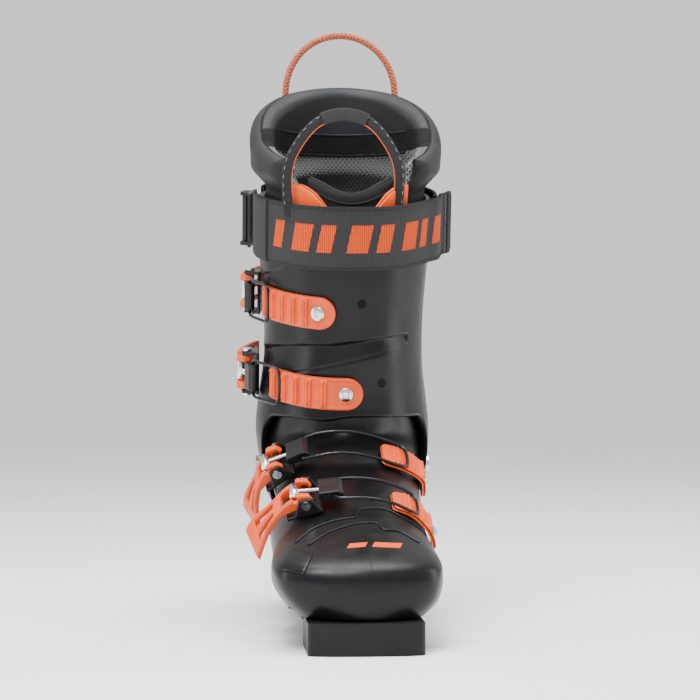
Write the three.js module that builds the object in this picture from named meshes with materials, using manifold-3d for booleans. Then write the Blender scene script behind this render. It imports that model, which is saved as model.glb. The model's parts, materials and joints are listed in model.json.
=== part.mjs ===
// A right alpine ski boot: lower shell, hinged cuff, removable liner and four lever buckles.
// Millimetres, +Z up. The toe points along -Y, the lateral (outer) side is -X, and the origin is
// the middle of the flat underside of the toe lug, so the boot stands on z = 0.
import * as THREE from "three";
import { mergeVertices } from "three/addons/utils/BufferGeometryUtils.js";
import Module from "manifold-3d";

const wasm = await Module();
wasm.setup();

// ---------------------------------------------------------------- driving dimensions
const CLEARANCE = 0.35; // between pieces that touch
const SOLE_LENGTH = 305;
const TOE_LUG = { width: 69, height: 19, length: 60 };
const HEEL_LUG = { width: 70, height: 30, length: 58 };
const ARCH_HEIGHT = 12; // underside of the shell between the lugs
const WIDTH_SCALE = 1; // widens or narrows shell, cuff and liner together
const SHELL_WALL = 4.5;
const CUFF_WALL = 4.5;
const CUFF_GAP = 1.6; // between cuff and shell at the sides
const FLEX_ROOM = 2.5; // more gap between shell and cuff over the shin
const LINER_WALL = 8;
const FLOOR_THICKNESS = 4.5;
const BOARD_THICKNESS = 6;
const FOOTBED_THICKNESS = 4;
const LEAN = 102; // degrees from the horizontal, toe side, to the shaft's axis
const CUFF_TOP = { front: 266, rear: 292 };
const CUFF_LOW = { front: 134, side: 74, rear: 96 };
const SHELL_TOP = 134;
const LINER_SPLIT = { low: 116, high: 124 }; // the liner's flex line at the ankle
const PIVOT = { y: 192, z: 100, radius: 7, bore: 4 };
const STRAP = { width: 41, thickness: 2.6, height: 249 };
const SCREW = { radius: 2.5, head: 4.5, headHeight: 2 };
const BUCKLE = {
  ladderWidth: 21,
  ladderThickness: 2.4,
  toothPitch: 10.2,
  toothHeight: 2.2,
  wire: 1.2,
  leverWidth: 23,
  leverLength: 48,
  leverThickness: 3.4,
  leverBend: 62, // radius the lever is bent to, round the boot's side
  hingeHeight: 7.8,
  crank: 7, // from lever hinge to barrel
  crankAngle: THREE.MathUtils.degToRad(150),
  leverTwist: THREE.MathUtils.degToRad(26), // of its end, to face the way the boot narrows
  rodRadius: 1.6,
  rodLength: 18,
  clevisLength: 15,
};

const TOE_Y = -TOE_LUG.length / 2;
const HEEL_Y = TOE_Y + SOLE_LENGTH;
const SOLE_SCALE = SOLE_LENGTH / 305;

// ---------------------------------------------------------------- outer surface of the boot
// Level outlines: height, front, rear, and half widths at four stations from front to rear.
// Front and rear are measured from the toe tip. Below the ankle this is the shell, above it the cuff.
const LEVELS = [
  [12, 9, 298, 27, 33, 33, 33],
  [19, 8, 298, 31, 37, 35, 35],
  [28, 7, 298, 41, 45.5, 40, 39],
  [38, 6, 298, 47, 50.5, 43.5, 42],
  [46, 7, 298, 48, 51.5, 45.5, 43],
  [52, 12, 298, 46.5, 51.5, 46.5, 43.5],
  [60, 28, 298, 41, 51, 47, 44],
  [72, 56, 298, 34, 49.5, 47.5, 45],
  [84, 83, 298, 31, 48.5, 50, 46.5],
  [98, 110, 298, 30, 50, 54, 48],
  [112, 132, 297, 28, 52, 57, 48],
  [128, 150, 295, 26, 53, 58, 46],
  [145, 152, 291, 25, 51, 56.5, 42],
  [170, 147, 286, 24, 48.5, 53, 38],
  [200, 141, 279, 23, 48, 52.5, 37],
  [230, 134, 272, 25, 50, 54, 38],
  [260, 127, 265, 27, 52, 56, 39],
  [290, 121, 258, 28, 53, 57, 40],
  [330, 112, 250, 29, 55, 59, 42],
  [380, 102, 240, 30, 56, 60, 43],
];
const STATIONS = [0.05, 0.3, 0.6, 0.88];
const TOE_SKEW = 3; // the toe box reaches further forward on the inner side
const TOE_TUCK = 5; // and is narrower there at its widest level

const lerp = THREE.MathUtils.lerp;
const smooth = THREE.MathUtils.smoothstep;

// One row of LEVELS at any height, by a cubic through the rows.
function levelAt(z) {
  const last = LEVELS.length - 1;
  const clamped = THREE.MathUtils.clamp(z, LEVELS[0][0], LEVELS[last][0]);
  let i = 0;
  while (i < last - 1 && LEVELS[i + 1][0] < clamped) i++;
  const row = (k) => LEVELS[THREE.MathUtils.clamp(k, 0, last)];
  const [a, b] = [row(i), row(i + 1)];
  const step = b[0] - a[0];
  const t = (clamped - a[0]) / step;
  const slope = (k, c) => {
    const [p, q] = [row(k - 1), row(k + 1)];
    return (q[c] - p[c]) / (q[0] - p[0]);
  };
  return a.map((value, c) => {
    if (c === 0) return clamped;
    const [m0, m1] = [slope(i, c) * step, slope(i + 1, c) * step];
    return (
      (2 * t ** 3 - 3 * t ** 2 + 1) * value +
      (t ** 3 - 2 * t ** 2 + t) * m0 +
      (3 * t ** 2 - 2 * t ** 3) * b[c] +
      (t ** 3 - t ** 2) * m1
    );
  });
}

const curves = new Map();

// The closed outline at height z, moved inwards by inset all round and by the same amount below
// the surface. Its parameter runs from the front centre round the inner side to the rear (0.5).
function outline(z, inset) {
  const key = z.toFixed(3) + "/" + inset.toFixed(3);
  if (!curves.has(key)) {
    const [, front, rear, ...halves] = levelAt(z + inset);
    const low = TOE_Y + front * SOLE_SCALE + inset;
    const high = TOE_Y + rear * SOLE_SCALE - inset;
    const atToe = 1 - smooth(z, 60, 110);
    const skew = TOE_SKEW * atToe;
    const side = (sign) =>
      STATIONS.map((share, i) => {
        const tuck = sign > 0 && i < 2 ? TOE_TUCK * smooth(z + inset, 20, 44) * atToe : 0;
        const half = (halves[i] - tuck) * WIDTH_SCALE - inset;
        return new THREE.Vector3(sign * half, lerp(low, high, share), z);
      });
    const points = [
      new THREE.Vector3(skew, low, z),
      ...side(1),
      new THREE.Vector3(0, high, z),
      ...side(-1).reverse(),
    ];
    curves.set(key, new THREE.CatmullRomCurve3(points, true, "centripetal"));
  }
  return curves.get(key);
}

const surface = (u, z, inset) => outline(z, inset).getPoint(((u % 1) + 1) % 1);

// How far the lower shell's outside lies inside the surface of LEVELS: it passes under the cuff,
// with extra room in front of the shin for the cuff to flex into.
function shellInset(y, z) {
  const along = TOE_Y + (y - TOE_Y) / SOLE_SCALE;
  const under = Math.max(smooth(z, 88, 106), smooth(along, 112, 132) * smooth(z, 50, 68));
  const shin = smooth(z, 112, 126) * (1 - smooth(along, 140, 165));
  return under * (CUFF_WALL + CUFF_GAP) + shin * FLEX_ROOM;
}

// The lower shell's own surface, inset again for its inside and for what lies within it.
function shellSurface(u, z, inset) {
  return surface(u, z, shellInset(surface(u, z, 0).y, z) + inset);
}

const onShell = (u, z) => shellSurface(u, z, 0);
const onCuff = (u, z) => surface(u, z, 0);

// ---------------------------------------------------------------- solids
function solidOf(geometry) {
  const bare = new THREE.BufferGeometry();
  bare.setAttribute("position", geometry.getAttribute("position"));
  if (geometry.index) bare.setIndex(geometry.index);
  const merged = mergeVertices(bare, 1e-4);
  return new wasm.Manifold(
    new wasm.Mesh({
      numProp: 3,
      vertProperties: new Float32Array(merged.attributes.position.array),
      triVerts: new Uint32Array(merged.index.array),
    }),
  );
}

function geometryOf(solid) {
  const mesh = solid.getMesh();
  const positions = new Float32Array(mesh.numVert * 3);
  for (let i = 0; i < mesh.numVert; i++)
    for (let k = 0; k < 3; k++)
      positions[3 * i + k] = mesh.vertProperties[mesh.numProp * i + k];
  const geometry = new THREE.BufferGeometry();
  geometry.setAttribute("position", new THREE.BufferAttribute(positions, 3));
  geometry.setIndex(new THREE.BufferAttribute(new Uint32Array(mesh.triVerts), 1));
  return geometry;
}

const join = (first, ...others) => others.reduce((a, b) => a.add(b), first);
const cut = (first, ...others) => others.reduce((a, b) => a.subtract(b), first);

function meshSolid(points, triangles) {
  const geometry = new THREE.BufferGeometry();
  const flat = points.flatMap((p) => [p.x, p.y, p.z]);
  geometry.setAttribute("position", new THREE.Float32BufferAttribute(flat, 3));
  geometry.setIndex(triangles.flat());
  return solidOf(geometry);
}

// A sheet with thickness. face(u, v, side) is a point of its inner (side 0) or outer (side 1) face.
function sheet(face, uCount, vCount, closed = false) {
  const columns = closed ? uCount : uCount + 1;
  const points = [];
  for (const side of [0, 1])
    for (let i = 0; i < columns; i++)
      for (let j = 0; j <= vCount; j++)
        points.push(face(i / uCount, j / vCount, side));
  const at = (side, i, j) => (side * columns + (i % columns)) * (vCount + 1) + j;
  const triangles = [];
  const quad = (a, b, c, d) => triangles.push([a, b, c], [a, c, d]);
  for (let i = 0; i < uCount; i++) {
    for (let j = 0; j < vCount; j++) {
      quad(at(1, i, j), at(1, i + 1, j), at(1, i + 1, j + 1), at(1, i, j + 1));
      quad(at(0, i, j), at(0, i, j + 1), at(0, i + 1, j + 1), at(0, i + 1, j));
    }
    quad(at(0, i, 0), at(0, i + 1, 0), at(1, i + 1, 0), at(1, i, 0));
    quad(at(1, i, vCount), at(1, i + 1, vCount), at(0, i + 1, vCount), at(0, i, vCount));
  }
  if (!closed)
    for (let j = 0; j < vCount; j++) {
      quad(at(0, 0, j), at(1, 0, j), at(1, 0, j + 1), at(0, 0, j + 1));
      quad(at(1, uCount, j), at(0, uCount, j), at(0, uCount, j + 1), at(1, uCount, j + 1));
    }
  return meshSolid(points, triangles);
}

// A solid through rings of equal length, closed at both ends.
function loft(rings) {
  const count = rings[0].length;
  const points = rings.flat();
  const middle = (ring) =>
    ring.reduce((sum, p) => sum.add(p), new THREE.Vector3()).divideScalar(count);
  const [bottom, top] = [points.length, points.length + 1];
  points.push(middle(rings[0]), middle(rings.at(-1)));
  const triangles = [];
  for (let i = 0; i < count; i++) {
    const next = (i + 1) % count;
    rings.slice(1).forEach((_, r) => {
      const [a, b] = [r * count, (r + 1) * count];
      triangles.push([a + i, a + next, b + next], [a + i, b + next, b + i]);
    });
    const end = (rings.length - 1) * count;
    triangles.push([bottom, next, i], [top, end + i, end + next]);
  }
  return meshSolid(points, triangles);
}

function box(low, high) {
  const size = high.map((value, k) => value - low[k]);
  const geometry = new THREE.BoxGeometry(...size);
  geometry.translate(...low.map((value, k) => value + size[k] / 2));
  return solidOf(geometry);
}

// A cylinder along x, y or z about a centre.
function cylinder(radius, length, centre, along = "y", sides = 12) {
  const geometry = new THREE.CylinderGeometry(radius, radius, length, sides);
  if (along === "x") geometry.rotateZ(Math.PI / 2);
  if (along === "z") geometry.rotateX(Math.PI / 2);
  geometry.translate(...centre);
  return solidOf(geometry);
}

// An outline in the x-z plane, given as [x, z] points or a Shape, extruded along y about y = 0.
function slabXZ(profile, width) {
  const shape = Array.isArray(profile)
    ? new THREE.Shape(profile.map((p) => new THREE.Vector2(...p)))
    : profile;
  const geometry = new THREE.ExtrudeGeometry(shape, {
    depth: width,
    bevelEnabled: false,
    curveSegments: 6,
  });
  geometry.translate(0, 0, -width / 2);
  geometry.rotateX(Math.PI / 2);
  return solidOf(geometry);
}

// A round or flat bar along a curve.
function bar(curve, section, steps) {
  return solidOf(
    new THREE.ExtrudeGeometry(section, { steps, extrudePath: curve, bevelEnabled: false }),
  );
}

function roundSection(radius, sides) {
  const shape = new THREE.Shape();
  for (let i = 0; i < sides; i++) {
    const angle = (2 * Math.PI * i) / sides;
    shape[i ? "lineTo" : "moveTo"](radius * Math.cos(angle), radius * Math.sin(angle));
  }
  return shape;
}

function flatSection(width, thickness) {
  const [w, t] = [width / 2, thickness / 2];
  const corners = [[-t, -w], [t, -w], [t, w], [-t, w]];
  return new THREE.Shape(corners.map((p) => new THREE.Vector2(...p)));
}

// ---------------------------------------------------------------- materials
const material = (color, roughness, metalness = 0) =>
  new THREE.MeshStandardMaterial({ color, roughness, metalness });
const LOOK = {
  shell: material(0x26272a, 0.42),
  lug: material(0x2d2e31, 0.5),
  orange: material(0xf2692a, 0.4),
  black: material(0x161618, 0.5),
  chrome: material(0xc8ccd0, 0.2, 1),
  wire: material(0x202022, 0.3, 1),
  liner: material(0x3a3b3e, 0.75),
  webbing: material(0x1b1b1d, 0.85),
  loop: material(0xd96a35, 0.8),
  foam: material(0x4a4b4d, 0.9),
};

const boot = new THREE.Group();
const cuffGroup = new THREE.Group();
cuffGroup.name = "cuff_hinge";
boot.add(cuffGroup);

function add(parent, name, solid, look) {
  const mesh = new THREE.Mesh(geometryOf(solid), look);
  mesh.name = name;
  parent.add(mesh);
  return mesh;
}

// ---------------------------------------------------------------- soles
// A lug block with rounded corners at its outer end, in plan.
function lugBlock(lug, outerY, inwards) {
  const half = lug.width / 2;
  const corner = 7;
  const bow = 3.5; // how far the middle of the outer end stands ahead of its corners
  const shape = new THREE.Shape();
  shape.moveTo(-half, inwards * lug.length);
  shape.lineTo(-half, inwards * corner);
  shape.bezierCurveTo(-half, inwards * bow * 0.6, -half * 0.8, inwards * bow * 0.2, 0, 0);
  shape.bezierCurveTo(half * 0.8, inwards * bow * 0.2, half, inwards * bow * 0.6, half, inwards * corner);
  shape.lineTo(half, inwards * lug.length);
  const geometry = new THREE.ExtrudeGeometry(shape, {
    depth: lug.height,
    bevelEnabled: false,
    curveSegments: 8,
  });
  geometry.translate(0, outerY, 0);
  return solidOf(geometry);
}

const SCREW_X = TOE_LUG.width / 2 - 13;
const TOE_SCREW_Y = TOE_Y + TOE_LUG.length - 14;
const HEEL_SCREW_Y = HEEL_Y - HEEL_LUG.length + 16;
const SCREW_DEPTH = 3; // how far a screw head sits above the ground

function soleScrew(name, x, y, lugHeight) {
  const top = lugHeight + 3;
  const head = cylinder(
    SCREW.head,
    SCREW.headHeight,
    [x, y, SCREW_DEPTH + SCREW.headHeight / 2],
    "z",
    12,
  );
  const shank = cylinder(SCREW.radius, top - SCREW_DEPTH, [x, y, (top + SCREW_DEPTH) / 2], "z", 12);
  add(boot, name, join(head, shank), LOOK.chrome);
}

function screwHole(x, y, lugHeight) {
  const shank = cylinder(SCREW.radius + CLEARANCE, 2 * lugHeight, [x, y, lugHeight + 4], "z", 12);
  const depth = SCREW_DEPTH + SCREW.headHeight + CLEARANCE;
  return join(shank, cylinder(SCREW.head + CLEARANCE, 2 * depth, [x, y, 0], "z", 12));
}

function addSoles() {
  for (const [name, lug, outer, inwards, y] of [
    ["toe", TOE_LUG, TOE_Y, 1, TOE_SCREW_Y],
    ["heel", HEEL_LUG, HEEL_Y, -1, HEEL_SCREW_Y],
  ]) {
    const holes = [-SCREW_X, SCREW_X].map((x) => screwHole(x, y, lug.height));
    add(boot, name + "_sole", cut(lugBlock(lug, outer, inwards), ...holes), LOOK.lug);
    soleScrew(name + "_sole_screw_lateral", -SCREW_X, y, lug.height);
    soleScrew(name + "_sole_screw_medial", SCREW_X, y, lug.height);
  }
}

// ---------------------------------------------------------------- lower shell
const AROUND = 36;
const HEEL_START = HEEL_Y - HEEL_LUG.length;

// The shell's inside floor is one plane that climbs from the toe lug to clear the heel lug.
const RAMP = (HEEL_LUG.height - TOE_LUG.height) / (HEEL_START - TOE_Y);
const floorTop = (y) => TOE_LUG.height + FLOOR_THICKNESS + RAMP * (y - TOE_Y);

const ring = (z, inset, count = AROUND) =>
  Array.from({ length: count }, (_, i) => surface(i / count, z, inset));

// A ring round the foot at a height that depends on the place along the boot.
const FOOT_LEVEL = 36;
const rampRing = (inset, heightAt, count = AROUND) =>
  ring(FOOT_LEVEL, inset, count).map((p, i) => {
    const q = surface(i / count, heightAt(p.y), inset);
    return q.setZ(heightAt(q.y));
  });

function addLowerShell() {
  const topAt = (u) => SHELL_TOP + 4 * cosine(u);
  const heights = [0, 0.07, 0.17, 0.27, 0.33, 0.4, 0.48, 0.57, 0.67, 0.78, 0.89, 1];
  const wall = sheet(
    (u, v, side) => {
      const k = v * (heights.length - 1);
      const share = heights[Math.round(k)];
      const z = lerp(ARCH_HEIGHT, topAt(u), share);
      return shellSurface(u, z, side ? 0 : SHELL_WALL);
    },
    AROUND,
    heights.length - 1,
    true,
  );
  const floor = loft([
    ring(ARCH_HEIGHT, 1.5),
    ring(TOE_LUG.height, 2),
    rampRing(SHELL_WALL / 2, floorTop),
  ]);
  const wide = 80;
  const toeRoom = box(
    [-wide, TOE_Y - 20, -1],
    [wide, TOE_Y + TOE_LUG.length + CLEARANCE, TOE_LUG.height + CLEARANCE],
  );
  const heelRoom = box(
    [-wide, HEEL_START - CLEARANCE, -1],
    [wide, HEEL_Y + 20, HEEL_LUG.height + CLEARANCE],
  );
  const holes = [
    [TOE_SCREW_Y, TOE_LUG],
    [HEEL_SCREW_Y, HEEL_LUG],
  ].flatMap(([y, lug]) => [-SCREW_X, SCREW_X].map((x) => screwHole(x, y, lug.height)));
  const pivotBore = cylinder(PIVOT.bore + CLEARANCE, 200, [0, PIVOT.y, PIVOT.z], "x", 16);
  const cuts = [toeRoom, heelRoom, pivotBore, ...holes, ...screwBores(boot)];
  add(boot, "lower_shell", cut(join(wall, floor), ...cuts), LOOK.shell);
}

// ---------------------------------------------------------------- foot bed and liner foot
const BOARD_INSET = SHELL_WALL + 3.5;
const LINER_ROOM = 2.4; // between shell and liner
const boardTop = (y) => floorTop(y) + CLEARANCE + BOARD_THICKNESS;
const linerSole = (y) => boardTop(y) + 2 * CLEARANCE + 4;

function addFootLayers() {
  const layer = (inset, low, high) => loft([rampRing(inset, low), rampRing(inset, high)]);
  const raised = (heightAt, by) => (y) => heightAt(y) + by;
  const bottom = raised(boardTop, 2 * CLEARANCE);
  add(boot, "boot_board", layer(BOARD_INSET, raised(floorTop, CLEARANCE), boardTop), LOOK.foam);
  const wall = sheet(
    (u, v, side) => {
      const foot = surface(u, FOOT_LEVEL, SHELL_WALL);
      const z = lerp(bottom(foot.y), LINER_SPLIT.low, v);
      return shellSurface(u, z, SHELL_WALL + LINER_ROOM + (side ? 0 : LINER_WALL * 0.8));
    },
    AROUND,
    6,
    true,
  );
  const sole = layer(BOARD_INSET + 1, bottom, linerSole);
  add(boot, "liner_foot", join(wall, sole), LOOK.liner);
  const bedInset = BOARD_INSET + LINER_WALL + 1;
  const bedLow = raised(linerSole, CLEARANCE);
  add(boot, "footbed", layer(bedInset, bedLow, raised(bedLow, FOOTBED_THICKNESS)), LOOK.foam);
}

// ---------------------------------------------------------------- cuff
const cosine = (u) => Math.cos(2 * Math.PI * u); // 1 at the front, -1 at the rear
const cuffTop = (u) => lerp(CUFF_TOP.front, CUFF_TOP.rear, (1 - cosine(u)) / 2);

// The cuff's lower edge: high over the instep, low over the ankles, a little up at the heel.
function cuffLow(u) {
  const c = cosine(u);
  return c > -0.3
    ? lerp(CUFF_LOW.side, CUFF_LOW.front, smooth(c, -0.3, 0.42))
    : lerp(CUFF_LOW.side, CUFF_LOW.rear, smooth(-c, 0.3, 0.95));
}

function addCuff() {
  const steps = 11;
  const wall = sheet(
    (u, v, side) => {
      const z = lerp(cuffLow(u), cuffTop(u), v ** 1.4);
      return surface(u, z, side ? 0 : CUFF_WALL);
    },
    AROUND,
    steps,
    true,
  );
  const bore = cylinder(PIVOT.bore + 2 * CLEARANCE, 200, [0, PIVOT.y, PIVOT.z], "x", 16);
  add(cuffGroup, "cuff", cut(wall, bore, ...screwBores(cuffGroup)), LOOK.shell);
  for (const [side, sign] of [
    ["medial", 1],
    ["lateral", -1],
  ]) {
    const proud = Math.max(
      ...[-1, 1].flatMap((a) =>
        [-1, 1].map((b) =>
          Math.abs(surfaceX(onCuff, PIVOT.y + a * PIVOT.radius, PIVOT.z + b * PIVOT.radius, sign)),
        ),
      ),
    );
    const outer = proud + CLEARANCE;
    const inner = outer - CUFF_WALL - CUFF_GAP - 2;
    const shank = cylinder(
      PIVOT.bore,
      outer - inner,
      [(sign * (outer + inner)) / 2, PIVOT.y, PIVOT.z],
      "x",
    );
    const head = cylinder(PIVOT.radius, 2, [sign * (outer + 1), PIVOT.y, PIVOT.z], "x");
    add(boot, "cuff_pivot_" + side, join(shank, head), LOOK.chrome);
  }
}

// The x of a surface at a place along the boot and a height, on one side.
function surfaceX(surfaceAt, y, z, sign) {
  let [low, high] = sign > 0 ? [0, 0.5] : [1, 0.5];
  for (let i = 0; i < 18; i++) {
    const middle = (low + high) / 2;
    if (surfaceAt(middle, z).y < y) low = middle;
    else high = middle;
  }
  return surfaceAt(low, z).x;
}

// ---------------------------------------------------------------- liner shaft and tongue
const LINER_TOP = { front: 288, side: 316, rear: 358 };
const TONGUE_HALF = 0.135; // half the tongue's share of the way round
const LINER_START = 0.16; // where the liner's front ends lie, past the wings beside the tongue
const SHAFT_ROOM = CUFF_WALL + CUFF_GAP + SHELL_WALL + LINER_ROOM; // below the cuff's inside
const COLLAR_FLARE = 4.5; // how far the padded collar stands outside the cuff's surface
const COLLAR_WALL = 13;

// Top edge of the collar: a horseshoe, high behind the calf and sloping down to its front ends.
function collarTop(u) {
  const c = cosine(u);
  return c > 0
    ? lerp(LINER_TOP.side, LINER_TOP.front, c)
    : lerp(LINER_TOP.side, LINER_TOP.rear, (-c) ** 0.9);
}

// The liner lies inside shell and cuff, clears the cuff's rim, and flares into the collar.
function linerInset(u, z) {
  const inCuff = CUFF_WALL + 1;
  const rim = cuffTop(u) + 5;
  const base = lerp(inCuff, SHAFT_ROOM + FLEX_ROOM, 1 - smooth(z, SHELL_TOP + 14, SHELL_TOP + 30));
  return lerp(base, -COLLAR_FLARE, smooth(z, rim, rim + 15));
}

const NECK_SHARE = 0.5; // share of the shaft's rows below the cuff's rim

function addLinerShaft() {
  const [from, to] = [LINER_START, 1 - LINER_START];
  const steps = 12;
  const shaft = sheet(
    (s, v, side) => {
      const u = lerp(from, to, s);
      const neck = cuffTop(u) + 4;
      const z =
        v < NECK_SHARE
          ? lerp(LINER_SPLIT.high, neck, v / NECK_SHARE)
          : lerp(neck, collarTop(u), (v - NECK_SHARE) / (1 - NECK_SHARE));
      const wall = lerp(LINER_WALL, COLLAR_WALL, smooth(z, cuffTop(u) - 10, cuffTop(u) + 30));
      const rounding = 5 * smooth(v, 0.93, 1);
      return surface(u, z, linerInset(u, z) + (side ? rounding : wall - rounding));
    },
    28,
    steps,
  );
  add(cuffGroup, "liner_shaft", shaft, LOOK.liner);
}

const TONGUE = { low: 126, top: 278, lift: 12, thickness: 7 };

function tonguePoint(u, v, depth) {
  const share = u / TONGUE_HALF;
  const z = lerp(TONGUE.low, TONGUE.top + TONGUE.lift * share * share, v);
  const inset = linerInset(0, Math.min(z, CUFF_TOP.front)) + 2.4;
  return surface(u, z, inset + depth);
}

function addTongue() {
  const tongue = sheet(
    (s, v, side) =>
      tonguePoint(lerp(-TONGUE_HALF, TONGUE_HALF, s), v, side ? 0 : TONGUE.thickness),
    12,
    10,
  );
  add(cuffGroup, "tongue", tongue, LOOK.liner);
}

// Stiff wings of the liner close the gap between each side of the tongue and the collar.
const WING = { to: 0.154, tip: 0.085, low: 262, top: 284, thickness: 2 };

function addWings() {
  for (const [side, sign] of [["medial", 1], ["lateral", -1]]) {
    const wing = sheet(
      (t, v, face) => {
        const s = sign > 0 ? t : 1 - t;
        const z = WING.low + (WING.top - WING.low) * smooth(s, -0.1, 0.75) * v;
        const inset = CUFF_WALL + 0.6 + (face ? 0 : WING.thickness);
        return surface(sign * lerp(WING.tip, WING.to, s), z, inset);
      },
      8,
      4,
    );
    add(cuffGroup, "liner_wing_" + side, wing, LOOK.orange);
  }
}

// ---------------------------------------------------------------- tilted sections
const radians = THREE.MathUtils.degToRad;
const X_AXIS = new THREE.Vector3(1, 0, 0);

// A tilted plane across the boot that meets the front centre line at a height. Directions in it
// are angles: 0 is the inner side, 180 the outer side, and 270 the front or top.
class Section {
  constructor(height, tilt, depth, surfaceAt) {
    this.surfaceAt = surfaceAt;
    this.axis = new THREE.Vector3(0, Math.cos(radians(tilt)), Math.sin(radians(tilt)));
    this.across = new THREE.Vector3().crossVectors(this.axis, X_AXIS);
    const top = surfaceAt(0, height).setX(0);
    this.centre = top.addScaledVector(this.across, depth);
  }

  direction(angle) {
    return new THREE.Vector3()
      .addScaledVector(X_AXIS, Math.cos(radians(angle)))
      .addScaledVector(this.across, Math.sin(radians(angle)));
  }

  point(angle, radius, along = 0) {
    return this.centre
      .clone()
      .addScaledVector(this.axis, along)
      .addScaledVector(this.direction(angle), radius);
  }

  holds(p) {
    if (p.y < this.surfaceAt(0, p.z).y || p.y > this.surfaceAt(0.5, p.z).y) return false;
    return Math.abs(p.x) < Math.abs(surfaceX(this.surfaceAt, p.y, p.z, p.x < 0 ? -1 : 1));
  }

  // The surface's distance from the centre, the most over a band of a width.
  radius(angle, width = 0) {
    const stations = width ? [-3, -2, -1, 0, 1, 2, 3].map((k) => (k * width) / 6) : [0];
    return Math.max(
      ...stations.map((along) => {
        let [low, high] = [5, 110];
        for (let i = 0; i < 14; i++) {
          const middle = (low + high) / 2;
          if (this.holds(this.point(angle, middle, along))) low = middle;
          else high = middle;
        }
        return high;
      }),
    );
  }

  // From coordinates in the plane, with z along the axis, to the boot's.
  matrix() {
    return new THREE.Matrix4()
      .makeBasis(X_AXIS, this.across, this.axis)
      .setPosition(this.centre);
  }
}

// Places along a section from one angle to another, each with its distance along the surface.
function walk(section, from, to, width, steps) {
  let length = 0;
  let last = null;
  return Array.from({ length: steps + 1 }, (_, i) => {
    const angle = lerp(from, to, i / steps);
    const radius = section.radius(angle, width);
    const point = section.point(angle, radius);
    if (last) length += point.distanceTo(last);
    last = point;
    return { angle, radius, length };
  });
}

// A band that follows a section of the boot. inner and outer give the heights of its faces above
// the surface at each place of the walk.
function band(section, path, width, inner, outer) {
  const at = ({ angle, radius }, height) =>
    new THREE.Vector2(Math.cos(radians(angle)), Math.sin(radians(angle))).multiplyScalar(
      radius + height,
    );
  const shape = new THREE.Shape([
    ...path.map((p) => at(p, outer(p))),
    ...path.toReversed().map((p) => at(p, inner(p))),
  ]);
  const geometry = new THREE.ExtrudeGeometry(shape, { depth: width, bevelEnabled: false });
  geometry.translate(0, 0, -width / 2);
  geometry.applyMatrix4(section.matrix());
  return solidOf(geometry);
}

// ---------------------------------------------------------------- buckles
// Each buckle sits in a section. hinge, screw and the ladder's two ends are angles; hook is the
// number of the gap between teeth that the wire lies in. drop tilts the lever down to the boot's
// side, pitch tilts the rod down towards the ladder, and gap lies between ladder and surface.
const BUCKLES = [
  {
    name: "toe_buckle",
    section: new Section(85, 26, 40, onShell),
    host: boot,
    hinge: 231,
    hook: 1,
    ladder: [299, 352],
    gap: 1,
    screw: 341,
    drop: 26,
    pitch: 12,
  },
  {
    name: "instep_buckle",
    section: new Section(111, 32, 40, onShell),
    host: boot,
    hinge: 214,
    hook: 1,
    ladder: [297, 350],
    gap: 2.4,
    screw: 339,
    drop: 26,
    pitch: 16,
  },
  {
    name: "lower_cuff_buckle",
    section: new Section(150, LEAN, 68, onCuff),
    host: cuffGroup,
    hinge: 182,
    hook: 1,
    ladder: [214, 277],
    gap: 0.8,
    screw: 268,
    drop: 3,
    pitch: 14,
  },
  {
    name: "upper_cuff_buckle",
    section: new Section(201, LEAN, 68, onCuff),
    host: cuffGroup,
    hinge: 167,
    hook: 1,
    ladder: [199, 262],
    gap: 0.8,
    screw: 253,
    drop: 3,
    pitch: 12,
  },
];

const RIVET = { radius: 1.7, head: 3, headHeight: 1.2 };
const EAR = { inner: BUCKLE.leverWidth / 2 + 0.7, thickness: 2.2 };
const CHEEK_INNER = 7;
const BARREL = {
  x: BUCKLE.crank * Math.cos(BUCKLE.crankAngle),
  z: BUCKLE.hingeHeight + BUCKLE.crank * Math.sin(BUCKLE.crankAngle),
};
const WIRE_HALF = BUCKLE.ladderWidth / 2 + BUCKLE.wire + 0.6; // wire centre from the middle
const CLEVIS_HALF = WIRE_HALF - BUCKLE.wire - 2.2;
const CLEVIS_START = BUCKLE.rodLength - 3; // from the barrel along the rod
const WIRE_PIN = CLEVIS_START + BUCKLE.clevisLength - 4.5;

function buckleBase() {
  const top = BUCKLE.hingeHeight + RIVET.head + 0.6;
  const width = 2 * (EAR.inner + EAR.thickness);
  const plate = box([-14, -width / 2, 0], [9, width / 2, 2]);
  const ear = (sign) => {
    const solid = slabXZ([[-9, 0.5], [9, 0.5], [4, top], [-4, top]], EAR.thickness);
    return solid.translate([0, sign * (EAR.inner + EAR.thickness / 2), 0]);
  };
  const bore = cylinder(RIVET.radius + CLEARANCE, 2 * width, [0, 0, BUCKLE.hingeHeight]);
  return cut(join(plate, ear(1), ear(-1)), bore);
}

// Turns a lever's grip about its length, more and more towards its end.
function twisted(solid, twist) {
  const geometry = geometryOf(solid);
  const position = geometry.getAttribute("position");
  const [start, end, edge] = [20, BUCKLE.leverLength, -BUCKLE.leverWidth / 4];
  for (let i = 0; i < position.count; i++) {
    const angle = twist * smooth(-position.getX(i), start, end);
    const y = position.getY(i) - edge;
    position.setY(i, edge + y * Math.cos(angle));
    position.setZ(i, position.getZ(i) + y * Math.sin(angle));
  }
  return solidOf(geometry);
}

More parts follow.
